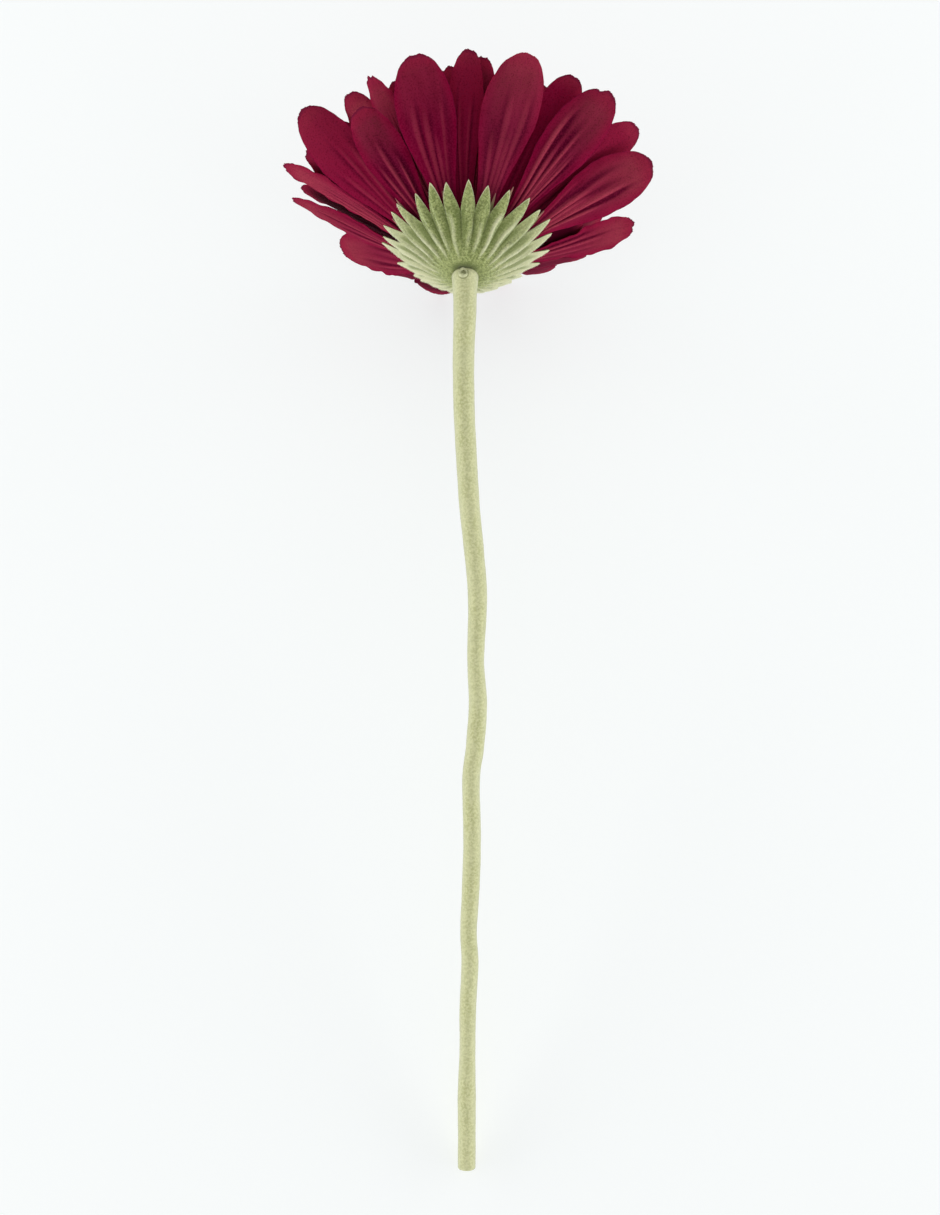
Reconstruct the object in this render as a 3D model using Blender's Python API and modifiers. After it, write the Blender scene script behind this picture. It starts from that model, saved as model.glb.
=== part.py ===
"""A cut gerbera lying on a table: a wavy stem, a green cup of pointed bracts, three whorls of
long red ray petals, a ring of short inner florets and the eye of disc florets.

The flower rests on the cut end of its stem and on the tips of its lowest ray petals. Metres, +Z up.
The stem runs along +Y and the face of the bloom looks along +Y and a little down.
"""

import math
from collections import namedtuple

import bmesh
import bpy
from mathutils import Euler, Vector

MM = 0.001
GOLDEN_ANGLE = math.radians(137.508)

# The bloom's own frame has its origin where the stem ends and Z along the flower's axis, out of
# its face. Azimuths are degrees from the flower's right towards the side that lies on the table.
HEAD_BEND = math.radians(28.5)
HEAD_LEAN = math.radians(-2.0)
BLADE = 0.7 * MM
WELD = 0.01 * MM
SMOOTH_ANGLE = math.radians(50)

# The stem, measured from its cut end: distance along it, sideways bow, bow up, radius.
StemPoint = namedtuple("StemPoint", "along side up radius")
STEM = [
    StemPoint(0.0, 0.0, 0.0, 2.45),
    StemPoint(8.8, 0.0, 0.1, 2.45),
    StemPoint(20.8, 0.0, 0.4, 2.50),
    StemPoint(31.8, 0.2, 0.7, 2.20),
    StemPoint(44.8, 0.3, 0.9, 2.30),
    StemPoint(56.8, 0.9, 0.8, 2.35),
    StemPoint(65.8, 0.5, 0.6, 2.30),
    StemPoint(77.8, 1.1, 0.3, 2.45),
    StemPoint(90.8, 1.5, 0.0, 2.45),
    StemPoint(107.8, 1.2, -0.5, 2.45),
    StemPoint(116.8, 2.3, -0.8, 2.55),
    StemPoint(128.8, 3.1, -0.9, 2.55),
    StemPoint(140.8, 2.5, -0.7, 2.35),
    StemPoint(157.8, 3.0, -0.1, 2.65),
    StemPoint(170.8, 2.1, 0.4, 2.75),
    StemPoint(184.8, 0.7, 0.8, 2.85),
    StemPoint(199.8, -0.2, 0.8, 2.90),
    StemPoint(213.8, -0.8, 0.5, 2.95),
    StemPoint(225.8, -0.9, 0.2, 3.00),
    StemPoint(236.8, -0.5, 0.0, 3.15),
]
NECK_LENGTH = 12.0 * MM
NECK_RADIUS = 3.7 * MM
STEM_RINGS = 28
NECK_RINGS = 6

# Each ray petal: azimuth, length, lift of its chord over the bloom's plane, half width at its
# widest, how far it rolls about its own length, how far it curls between root and tip, and how far
# its middle line bows sideways.
Petal = namedtuple("Petal", "azimuth length lift half_width roll curl bow", defaults=(0.0,))
OUTER_RAYS = [
    Petal(-12, 54.8, 32.5, 8.4, -36, -8, -0.3),
    Petal(-45, 55.4, 33.0, 7.7, -22, -8, 0.3),
    Petal(-73.5, 55.0, 34.2, 8.3, 10, -8, 0.3),
    Petal(-107.3, 53.8, 34.0, 8.0, 14, -8, -0.7),
    Petal(-131.5, 46.0, 31.5, 6.7, 12, -8, -1.2),
    Petal(-153, 56.4, 35.4, 7.6, 28, -6, -1.8),
    Petal(-178.8, 57.0, 34.8, 5.0, -14, -8, -0.1),
    Petal(168, 55.4, 33.6, 4.7, -6, -8, -3.2),
    Petal(142, 49.6, 33.8, 8.0, 20, -8, -0.7),
    Petal(121, 50.5, 35.0, 8.6, 2, -9, -2.0),
    Petal(101, 53.5, 33.0, 8.4, 4, -12),
    Petal(76, 55.0, 38.0, 8.4, -4, -10),
    Petal(57, 46.0, 36.8, 8.2, 5, -8),
    Petal(37, 44.2, 34.4, 8.2, 6, -8, 2.0),
    Petal(17.2, 53.4, 33.2, 5.5, -36, -8, 2.3),
]
MIDDLE_RAYS = [
    Petal(-91, 51.6, 40.0, 5.2, 0, -6, -1.0),
    Petal(-53, 52.0, 40.0, 7.0, -6, -6, 1.2),
    Petal(-19.5, 55.8, 39.0, 7.7, -8, -6),
    Petal(8, 34.5, 38.0, 6.6, -30, -6, 1.9),
    Petal(30, 51.0, 41.0, 7.2, 4, -6),
    Petal(56, 51.0, 41.0, 7.6, -4, -6),
    Petal(82, 50.0, 41.0, 7.6, 3, -6),
    Petal(107, 50.0, 41.0, 7.6, -3, -6),
    Petal(128, 51.0, 41.0, 7.4, 4, -6),
    Petal(148, 52.0, 40.0, 7.0, -4, -6),
    Petal(166.5, 54.6, 37.0, 6.8, -14, -8),
    Petal(-171, 50.3, 36.5, 6.8, 8, -6),
    Petal(-156, 48.0, 41.0, 6.8, -4, -6),
    Petal(-140, 49.9, 41.4, 5.6, 10, -6, -0.6),
    Petal(-128, 50.4, 40.0, 5.2, -24, -6),
]
INNER_RAYS = [
    Petal(-86, 47.5, 46.0, 5.2, 5, -6, -0.8),
    Petal(-99, 44.8, 46.0, 5.6, -5, -6),
    Petal(-124, 44.5, 46.0, 6.2, 6, -6),
    Petal(-150, 44.0, 46.0, 6.4, -4, -6),
    Petal(-175, 45.0, 46.0, 6.4, 4, -6),
    Petal(160, 45.5, 46.0, 6.4, -5, -6),
    Petal(136, 44.0, 46.5, 6.4, 4, -6),
    Petal(112, 44.5, 47.0, 6.4, -4, -6),
    Petal(88, 43.0, 47.5, 6.4, 4, -6),
    Petal(64, 44.0, 47.0, 6.4, -5, -6),
    Petal(40, 45.5, 46.0, 6.4, 4, -6),
    Petal(15, 44.5, 46.0, 6.4, -4, -6),
    Petal(-10, 45.0, 46.0, 6.4, 5, -6),
    Petal(-35, 45.0, 46.0, 6.4, -4, -6),
    Petal(-60, 44.5, 46.0, 6.4, 4, -6),
]
# The short florets are alike but for a spread in length, lift and roll.
SHORT_FLORETS = 24
SHORT_FLORET = Petal(0, 15.0, 58.0, 1.9, 0, -22)
SHORT_SPREAD = Petal(0, 1.6, 5.0, 0, 8.0, 0)

# A ray petal's outline, as shares of its length and of its widest half width: a narrow claw up to
# CLAW_END, widest at WIDEST_AT, and a round tip.
CLAW = 0.20
CLAW_END = 0.20
WIDEST_AT = 0.72
TIP_FALL = 0.87
TIP_FALL_POWER = 1.5
TIP_ARC = 0.10
TIP_ARC_ACROSS = 2.4
TIP_ARC_ALONG = 6
# Its relief: raised edges, pleats along it, and a tilt near the root that laps it over the next.
EDGE_LIFT = 0.15
PLEAT = 0.22 * MM
PLEAT_END = 0.91
SHINGLE = math.radians(10)
# Its grid's rows lie closer together towards the tip.
ROW_CROWDING = 1.3

# Where each whorl grows: the radius and height of its petals' roots, and the plate they grow from.
Whorl = namedtuple("Whorl", "root_radius root_height plate_low plate_high")
OUTER_WHORL = Whorl(7.0, 4.6, 1.9, 5.6)
MIDDLE_WHORL = Whorl(7.2, 6.9, 5.95, 7.8)
INNER_WHORL = Whorl(7.8, 9.4, 8.2, 10.3)
SHORT_WHORL = Whorl(8.6, 12.3, 11.1, 13.1)
PLATE_OUT = 0.2 * MM
PLATE_LEAN = 0.9
PLATE_SIDES = 28

# The green cup: its outer wall's radius and height, its thickness, and its pointed bracts. Towards
# the table its wall is shorter, by the share given, and its teeth are smaller.
CUP_PROFILE = [(4.4, 0.5), (7.2, 1.5), (9.5, 3.1), (13.5, 5.9), (17.5, 8.7), (21.0, 11.4), (24.0, 14.1)]
TABLE_SIDE_SHORTER = 0.34
TABLE_SIDE_TEETH = 0.4
TABLE_SIDE_RISE = 0.9
CUP_ROWS = [0.0, 0.13, 0.40, 0.65, 0.86, 1.0]
CUP_WALL = 0.7 * MM
BRACTS = 28
BRACT_COLUMNS = 4
BRACT_TOOTH = 7.5 * MM
BRACT_KEEL = 0.42 * MM

# The eye: a low dome, and the buds that stand out of it, leaning outwards towards its rim.
EYE_RADIUS = 8.2 * MM
EYE_RISE = 3.4 * MM
EYE_BASE = 13.5 * MM
BUDS = 48
BUD_RADIUS = 1.0 * MM
BUD_TIP_RADIUS = 0.45 * MM
BUD_HEIGHT = 3.2 * MM
BUD_RING = 0.93
BUD_LEAN = 0.6


def clear_scene():
    for thing in list(bpy.data.objects):
        bpy.data.objects.remove(thing)


def make_material(name, colour, roughness):
    made = bpy.data.materials.new(name)
    made.use_nodes = True
    shader = made.node_tree.nodes["Principled BSDF"]
    shader.inputs["Base Color"].default_value = (*colour, 1.0)
    shader.inputs["Roughness"].default_value = roughness
    shader.inputs["Metallic"].default_value = 0.0
    return made


def add_mesh_object(name, bm, collection):
    mesh = bpy.data.meshes.new(name)
    bm.to_mesh(mesh)
    bm.free()
    made = bpy.data.objects.new(name, mesh)
    collection.objects.link(made)
    return made


def keep_outer_body(mesh, weld):
    """Fills the pockets that touching petals seal, and drops loose scraps: the largest body stays."""
    bm = bmesh.new()
    bm.from_mesh(mesh)
    if weld:
        bmesh.ops.remove_doubles(bm, verts=bm.verts, dist=WELD)
    unseen = set(bm.verts)
    bodies = []
    while unseen:
        body = [unseen.pop()]
        for vert in body:
            for edge in vert.link_edges:
                other = edge.other_vert(vert)
                if other in unseen:
                    unseen.remove(other)
                    body.append(other)
        bodies.append(body)
    bodies.sort(key=len)
    for body in bodies[:-1]:
        bmesh.ops.delete(bm, geom=body, context="VERTS")
    bm.to_mesh(mesh)
    bm.free()


def settle_mesh(source, name, collection, material, weld=False):
    """The object's evaluated mesh as a new plain object; the source is removed."""
    graph = bpy.context.evaluated_depsgraph_get()
    mesh = bpy.data.meshes.new_from_object(source.evaluated_get(graph))
    mesh.name = name
    keep_outer_body(mesh, weld)
    made = bpy.data.objects.new(name, mesh)
    made.matrix_world = source.matrix_world
    collection.objects.link(made)
    bpy.data.objects.remove(source)
    mesh.materials.clear()
    mesh.materials.append(material)
    mesh.shade_smooth()
    mesh.set_sharp_from_angle(angle=SMOOTH_ANGLE)
    return made


def petal_width(share):
    """Half width of a ray petal at a share of its length, as a part of its widest."""
    step = min(max((share - CLAW_END) / (WIDEST_AT - CLAW_END), 0.0), 1.0)
    rise = CLAW + (1 - CLAW) * step**2 * (3 - 2 * step)
    past = max(share - WIDEST_AT, 0.0) / (1 - WIDEST_AT)
    return rise * math.sqrt(1 - TIP_FALL * past**TIP_FALL_POWER)


def petal_point(petal, whorl, pleats, share, across):
    """A point of a petal's middle surface. share runs 0 to 1 from root to tip, across -1 to 1."""
    share = share * (1 - TIP_ARC * abs(across) ** TIP_ARC_ACROSS * share**TIP_ARC_ALONG)
    curl = math.radians(petal.curl)
    root_lift = math.radians(petal.lift) - curl / 2
    chord = root_lift + curl * share / 2
    tangent = root_lift + curl * share
    length = petal.length * MM * share
    half = petal.half_width * MM * petal_width(share)
    ridge = PLEAT * math.sin(math.pi * min(share / PLEAT_END, 1.0))
    side = across * half + petal.bow * MM * 4 * share * (1 - share)
    front = EDGE_LIFT * half * across**2 - ridge * math.cos(pleats * math.pi * across)
    roll = SHINGLE * (1 - share) + math.radians(petal.roll) * share
    side, front = (
        side * math.cos(roll) - front * math.sin(roll),
        side * math.sin(roll) + front * math.cos(roll),
    )
    out = whorl.root_radius * MM + length * math.cos(chord) - front * math.sin(tangent)
    height = whorl.root_height * MM + length * math.sin(chord) + front * math.cos(tangent)
    azimuth = math.radians(petal.azimuth)
    return Vector(
        (
            out * math.cos(azimuth) - side * math.sin(azimuth),
            out * math.sin(azimuth) + side * math.cos(azimuth),
            height,
        )
    )


def add_petal(name, petal, whorl, lengthwise, crosswise, collection):
    """One petal: a flat grid bent to the petal's surface, then thickened alike on both faces."""
    bm = bmesh.new()
    bmesh.ops.create_grid(bm, x_segments=lengthwise, y_segments=crosswise, size=1.0)
    for vert in bm.verts:
        share = 1 - ((1 - vert.co.x) / 2) ** ROW_CROWDING
        vert.co = petal_point(petal, whorl, crosswise / 2, share, vert.co.y)
    bmesh.ops.triangulate(bm, faces=bm.faces)
    made = add_mesh_object(name, bm, collection)
    skin = made.modifiers.new("thickness", "SOLIDIFY")
    skin.thickness = BLADE
    skin.offset = 0.0
    return made


def add_plate(name, whorl, collection):
    """The short cone that a whorl's petals grow from."""
    low, high = whorl.plate_low * MM, whorl.plate_high * MM
    lean = (high - low) * PLATE_LEAN
    middle = whorl.root_radius * MM + PLATE_OUT
    bm = bmesh.new()
    bmesh.ops.create_cone(
        bm,
        cap_ends=True,
        segments=PLATE_SIDES,
        radius1=middle - lean / 2,
        radius2=middle + lean / 2,
        depth=high - low,
    )
    bmesh.ops.translate(bm, verts=bm.verts, vec=(0, 0, (low + high) / 2))
    return add_mesh_object(name, bm, collection)


def fuse(core, repeats, name, collection, material):
    """Joins a collection of repeats to their core in one union."""
    union = core.modifiers.new("union", "BOOLEAN")
    union.operation = "UNION"
    union.operand_type = "COLLECTION"
    union.collection = repeats
    union.solver = "MANIFOLD"
    made = settle_mesh(core, name, collection, material)
    for repeat in list(repeats.objects):
        bpy.data.objects.remove(repeat)
    bpy.data.collections.remove(repeats)
    return made


def build_whorl(name, petals, whorl, lengthwise, crosswise, collection, material):
    repeats = bpy.data.collections.new(name + "_repeats")
    bpy.context.scene.collection.children.link(repeats)
    for number, petal in enumerate(petals):
        add_petal(f"{name}_{number}", petal, whorl, lengthwise, crosswise, repeats)
    core = add_plate(name + "_plate", whorl, collection)
    return fuse(core, repeats, name, collection, material)


def short_florets():
    """The ring of short inner florets, each a little unlike its neighbours."""
    made = []
    for number in range(SHORT_FLORETS):
        wave = math.sin(2.4 * number) + 0.5 * math.sin(5.1 * number)
        made.append(
            SHORT_FLORET._replace(
                azimuth=360 * number / SHORT_FLORETS,
                length=SHORT_FLORET.length + SHORT_SPREAD.length * wave,
                lift=SHORT_FLORET.lift + SHORT_SPREAD.lift * (-1) ** number,
                roll=SHORT_SPREAD.roll * wave,
            )
        )
    return made


def profile_at(share):
    """Radius, height and outward slope of the cup's wall at a share of its profile's length."""
    points = [Vector((r * MM, h * MM)) for r, h in CUP_PROFILE]
    steps = [(b - a).length for a, b in zip(points, points[1:])]
    left = share * sum(steps)
    for number, step in enumerate(steps):
        last = number == len(steps) - 1
        if left <= step or last:
            along = (points[number + 1] - points[number]).normalized()
            return points[number] + along * left, along
        left -= step


def cup_point(share, turn):
    """A point of the cup's outer wall: share runs 0 to 1 from its floor to its rim, turn goes round."""
    edge = abs((turn * BRACTS) % 1.0 - 0.5) * 2
    angle = 2 * math.pi * turn
    down = min(max(math.sin(angle) / TABLE_SIDE_RISE, 0.0), 1.0)
    down = down**2 * (3 - 2 * down)
    at, along = profile_at(share * (1 - TABLE_SIDE_SHORTER * down))
    tooth = -BRACT_TOOTH * (1 - (1 - TABLE_SIDE_TEETH) * down) * edge**1.5 * share**3
    keel = BRACT_KEEL * (0.5 - edge) * math.sin(math.pi * min(share, 0.85))
    at = at + along * tooth + Vector((along.y, -along.x)) * keel
    return Vector((at.x * math.cos(angle), at.x * math.sin(angle), at.y))


def build_cup(collection, material):
    """The cup of bracts: a keeled bowl whose rim rises into a pointed tooth for each bract."""
    columns = BRACTS * BRACT_COLUMNS
    bm = bmesh.new()
    bmesh.ops.create_grid(bm, x_segments=columns, y_segments=len(CUP_ROWS) - 1, size=1.0)
    for vert in bm.verts:
        row = round((vert.co.y + 1) / 2 * (len(CUP_ROWS) - 1))
        vert.co = cup_point(CUP_ROWS[row], (vert.co.x + 1) / 2)
    bmesh.ops.remove_doubles(bm, verts=bm.verts, dist=WELD)
    floor_radius = CUP_PROFILE[0][0] * MM + WELD
    floor = [e for e in bm.edges if e.is_boundary and e.verts[0].co.xy.length < floor_radius]
    bmesh.ops.contextual_create(bm, geom=floor)
    bmesh.ops.recalc_face_normals(bm, faces=bm.faces)
    bmesh.ops.triangulate(bm, faces=bm.faces)
    shell = add_mesh_object("cup_shell", bm, collection)
    skin = shell.modifiers.new("wall", "SOLIDIFY")
    skin.thickness = CUP_WALL
    skin.offset = -1.0
    return settle_mesh(shell, "bract_cup", collection, material)


def build_eye(collection, material):
    """The eye: a low dome with one small bud at each turn of a spiral."""
    repeats = bpy.data.collections.new("eye_repeats")
    bpy.context.scene.collection.children.link(repeats)
    for number in range(BUDS):
        share = math.sqrt((number + 0.5) / BUDS)
        out = EYE_RADIUS * BUD_RING * share
        height = EYE_BASE + EYE_RISE * math.sqrt(1 - 0.75 * share**2)
        turn = GOLDEN_ANGLE * number
        bm = bmesh.new()
        bmesh.ops.create_cone(
            bm,
            cap_ends=True,
            segments=5,
            radius1=BUD_RADIUS,
            radius2=BUD_TIP_RADIUS,
            depth=BUD_HEIGHT,
        )
        bud = add_mesh_object(f"bud_{number}", bm, repeats)
        bud.rotation_euler = (0.0, BUD_LEAN * share, turn)
        bud.location = (out * math.cos(turn), out * math.sin(turn), height)
    dome = bmesh.new()
    bmesh.ops.create_uvsphere(dome, u_segments=20, v_segments=8, radius=EYE_RADIUS)
    for vert in dome.verts:
        vert.co.z = EYE_BASE + max(vert.co.z, 0.0) * EYE_RISE / EYE_RADIUS
    bmesh.ops.remove_doubles(dome, verts=dome.verts, dist=WELD)
    core = add_mesh_object("eye_dome", dome, collection)
    return fuse(core, repeats, "disc_florets", collection, material)


def smooth_between(points, share):
    """A point on the smooth curve through the points (a Catmull-Rom spline)."""
    place = share * (len(points) - 1)
    number = min(int(place), len(points) - 2)
    t = place - number
    before = points[max(number - 1, 0)]
    start, end = points[number], points[number + 1]
    after = points[min(number + 2, len(points) - 1)]
    return [
        0.5 * (2 * b + (c - a) * t + (2 * a - 5 * b + 4 * c - d) * t**2 + (3 * b - a - 3 * c + d) * t**3)
        for a, b, c, d in zip(before, start, end, after)
    ]


def build_stem(collection, material):
    """The stem along +Y as a bevelled curve from its cut end up to the bloom's base."""
    route = []
    for ring in range(STEM_RINGS + 1):
        along, side, up, radius = smooth_between(STEM, ring / STEM_RINGS)
        route.append((Vector((side, along, up)) * MM, radius * MM))
    start, start_radius = route[-1]
    for ring in range(1, NECK_RINGS + 1):
        turned = HEAD_BEND * ring / NECK_RINGS
        forward = NECK_LENGTH * math.sin(turned) / HEAD_BEND
        down = NECK_LENGTH * (1 - math.cos(turned)) / HEAD_BEND
        radius = start_radius + (NECK_RADIUS - start_radius) * (ring / NECK_RINGS) ** 2
        route.append((start + Vector((0, forward, -down)), radius))
    curve = bpy.data.curves.new("stem_line", "CURVE")
    curve.dimensions = "3D"
    curve.bevel_depth = 1.0
    curve.bevel_resolution = 4
    curve.use_fill_caps = True
    spline = curve.splines.new("POLY")
    spline.points.add(len(route) - 1)
    for point, (at, radius) in zip(spline.points, route):
        point.co = (*at, 1.0)
        point.radius = radius
    line = bpy.data.objects.new("stem_line", curve)
    collection.objects.link(line)
    return settle_mesh(line, "stem", collection, material, weld=True), route[-1][0]


def lay_down(root, stem, petals):
    """Turns the flower about X until its cut end and its lowest petal tips touch one level."""
    bpy.context.view_layer.update()
    corners = {part: [part.matrix_world @ v.co for v in part.data.vertices] for part in (stem, petals)}

    def lowest(part, slope):
        return min(c.y * math.sin(slope) + c.z * math.cos(slope) for c in corners[part])

    flat, steep = 0.0, HEAD_BEND
    for _ in range(40):
        slope = (flat + steep) / 2
        if lowest(petals, slope) < lowest(stem, slope):
            flat = slope
        else:
            steep = slope
    root.rotation_euler.x = slope


def centre_on_table(root, parts):
    """Moves the whole flower so that its box stands centred on the origin."""
    bpy.context.view_layer.update()
    corners = [part.matrix_world @ v.co for part in parts for v in part.data.vertices]
    low = [min(c[axis] for c in corners) for axis in range(3)]
    high = [max(c[axis] for c in corners) for axis in range(3)]
    root.location = (-(low[0] + high[0]) / 2, -(low[1] + high[1]) / 2, -low[2])


def main():
    clear_scene()
    flower = bpy.data.collections.new("cut_gerbera")
    bpy.context.scene.collection.children.link(flower)
    stem_green = make_material("stem_green", (0.50, 0.53, 0.28), 0.85)
    bract_green = make_material("bract_green", (0.30, 0.38, 0.14), 0.85)
    petal_red = make_material("petal_red", (0.26, 0.012, 0.035), 0.6)
    floret_red = make_material("floret_red", (0.33, 0.015, 0.03), 0.6)
    eye_brown = make_material("eye_brown", (0.05, 0.03, 0.015), 0.8)

    outer = build_whorl("outer_ray_petals", OUTER_RAYS, OUTER_WHORL, 6, 6, flower, petal_red)
    middle = build_whorl("middle_ray_petals", MIDDLE_RAYS, MIDDLE_WHORL, 5, 4, flower, petal_red)
    inner = build_whorl("inner_ray_petals", INNER_RAYS, INNER_WHORL, 4, 4, flower, petal_red)
    short = build_whorl("short_florets", short_florets(), SHORT_WHORL, 3, 1, flower, floret_red)
    cup = build_cup(flower, bract_green)
    eye = build_eye(flower, eye_brown)
    stem, stem_top = build_stem(flower, stem_green)

    root = bpy.data.objects.new("gerbera", None)
    head = bpy.data.objects.new("bloom", None)
    for empty in (root, head):
        flower.objects.link(empty)
    head.parent = root
    stem.parent = root
    head.location = stem_top
    head.rotation_euler = Euler((-(math.pi / 2 + HEAD_BEND), 0.0, HEAD_LEAN))
    for piece in (outer, middle, inner, short, cup, eye):
        piece.parent = head
    lay_down(root, stem, outer)
    centre_on_table(root, (stem, outer, middle, inner, short, cup, eye))


main()
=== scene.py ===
"""A cut gerbera lying on its side and seen from above: a flocked wavy stem, a flocked green cup of
pointed bracts, three whorls of velvety crimson ray petals, short inner florets and a dark eye.

Metres, +Z up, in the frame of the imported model; the tables of forms are in mm and degrees. The
flower is laid down as its solids are: their stem line and petal tables, with one petal slimmer,
give the same forms, here with finer relief, edges and fibres.
"""

import math
from collections import namedtuple

import bpy
import numpy as np
from mathutils import Euler, Matrix, Vector

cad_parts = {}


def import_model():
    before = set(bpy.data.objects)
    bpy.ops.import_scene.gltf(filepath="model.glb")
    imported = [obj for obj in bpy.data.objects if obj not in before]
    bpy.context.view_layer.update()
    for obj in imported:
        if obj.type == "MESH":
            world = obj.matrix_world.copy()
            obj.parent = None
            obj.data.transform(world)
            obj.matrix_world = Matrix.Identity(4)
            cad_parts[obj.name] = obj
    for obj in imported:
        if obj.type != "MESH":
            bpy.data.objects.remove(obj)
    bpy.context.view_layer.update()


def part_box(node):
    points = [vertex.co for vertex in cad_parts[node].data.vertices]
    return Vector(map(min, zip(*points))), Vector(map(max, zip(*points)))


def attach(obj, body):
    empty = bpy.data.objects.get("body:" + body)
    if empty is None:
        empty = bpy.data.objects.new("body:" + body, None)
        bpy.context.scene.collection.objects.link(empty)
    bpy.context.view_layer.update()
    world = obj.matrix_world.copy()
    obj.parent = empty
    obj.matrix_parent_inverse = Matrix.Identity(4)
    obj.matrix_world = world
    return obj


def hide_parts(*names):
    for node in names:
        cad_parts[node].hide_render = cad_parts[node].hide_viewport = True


MM = 0.001
GOLDEN_ANGLE = math.radians(137.508)
# Past this angle an edge of a sheet is shaded sharp.
SHARP_ANGLE = math.radians(60)
# Where the random draws of each part start.
SEEDS = {"stem": 5, "stem_flock": 22, "cup": 41, "cup_flock": 21, "fringe": 77, "looks": 7000}

# The bloom's own frame has its origin where the stem ends and Z along the flower's axis, out of
# its face. Azimuths are degrees from the flower's right towards the side that lies on the table.
HEAD_BEND = math.radians(28.5)
HEAD_LEAN = math.radians(-2.0)

# The camera looks down on the flower, square to the stem.
PHOTO_WIDTH = 940
PHOTO_HEIGHT = 1215
FOCAL_PIXELS = 1850
CAMERA_HEIGHT = 518 * MM
VIEW_RIGHT = 1.4 * MM
VIEW_BACK = 92.5 * MM

# The pale floor, how far it reaches each way and how far below the flower it lies.
FLOOR_COLOUR = (0.42, 0.43, 0.425)
FLOOR_GLOW = 0.60
FLOOR_REACH = 4.0
FLOOR_GAP = 0.05 * MM
# The sky is brightest low down, as the walls of a light tent are, and dimmer overhead: the heights
# from 0 to 1 between which it changes, and its strengths there.
SKY_FALL = (0.15, 0.95, 0.64, 0.50)
# Each soft light: its place, its width and height, and its power. All point at the same place.
Light = namedtuple("Light", "name place size power")
LIGHTS = [
    Light("left_soft_light", (-0.75, 0.05, 0.17), (1.2, 0.34), 4.4),
    Light("right_soft_light", (0.75, 0.05, 0.17), (1.2, 0.34), 4.4),
    Light("near_soft_light", (0.0, -0.95, 0.20), (1.2, 0.34), 1.4),
    Light("far_soft_light", (0.0, 0.95, 0.20), (1.2, 0.34), 2.0),
    Light("top_soft_light", (0.0, -0.10, 1.30), (1.0, 1.0), 0.5),
]
LIGHTS_AIM = (0.0, 0.05, 0.03)

# The stem, measured from its cut end: distance along it, sideways bow, bow up, radius.
STEM = [
    (0.0, 0.0, 0.0, 2.45), (8.8, 0.0, 0.1, 2.45), (20.8, 0.0, 0.4, 2.50),
    (31.8, 0.2, 0.7, 2.20), (44.8, 0.3, 0.9, 2.30), (56.8, 0.9, 0.8, 2.35),
    (65.8, 0.5, 0.6, 2.30), (77.8, 1.1, 0.3, 2.45), (90.8, 1.5, 0.0, 2.45),
    (107.8, 1.2, -0.5, 2.45), (116.8, 2.3, -0.8, 2.55), (128.8, 3.1, -0.9, 2.55),
    (140.8, 2.5, -0.7, 2.35), (157.8, 3.0, -0.1, 2.65), (170.8, 2.1, 0.4, 2.75),
    (184.8, 0.7, 0.8, 2.85), (199.8, -0.2, 0.8, 2.90), (213.8, -0.8, 0.5, 2.95),
    (225.8, -0.9, 0.2, 3.00), (236.8, -0.5, 0.0, 3.15),
]
NECK_LENGTH = 12.0 * MM
NECK_RADIUS = 3.8 * MM
STEM_RINGS = 300
NECK_RINGS = 24
STEM_SIDES = 36
# How often the slope is halved to fit the stem to its solid.
SLOPE_HALVINGS = 40
# How uneven the stem is, as a share of its radius, and how often along it and round it.
STEM_UNEVEN = 0.012
UNEVEN_RATES = (1.0, 2.3, 4.1)
UNEVEN_LENGTH = 30 * MM
UNEVEN_TURN = 6.0
# Its rounded ends: from where to where they turn in, as shares of a half turn, and how far.
END_TURNS = (0.15, 0.5)
END_RINGS = 5
END_SHRINK = 0.35
CUT_BULGE = 0.5 * MM
TOP_BULGE = 0.9 * MM
# How narrowly the painted shade on its sides keeps to them.
SIDE_FALL = 3

# The curled nub on top of the stem: where it stands from the stem's top, the size of its ring, how
# thick the ring is and where it swells, and the slit inside it, whose dark green is painted shade in
# the ring's hole, and the collar, a dark ring of painted shadow under it, as turned profiles of
# radius and height that are then stretched.
NUB_PLACE = (-0.45, 0.5, 4.0)
NUB_SIZE = (0.95, 1.2, 0.3)
NUB_THICKNESS = 0.48
NUB_SWELL = 0.16
NUB_SWELL_TURN = 2.2
NUB_STEPS = 40
NUB_SIDES = 12
# The nub takes half the painted shade of the stem's sides.
NUB_MARKS = (0.0, 0.5)
SLIT_PROFILE = [(0.50, -0.2), (0.50, 0.28), (0.25, 0.34)]
SLIT_SIZE = (0.55, 1.6, 1.0)
SHADOW_RING_PROFILE = [(1.0, -0.5), (1.0, -0.05), (0.8, 0.0)]
SHADOW_RING_SIZE = (1.58, 1.84, 1.0)
SLIT_SIDES = 20

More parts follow.
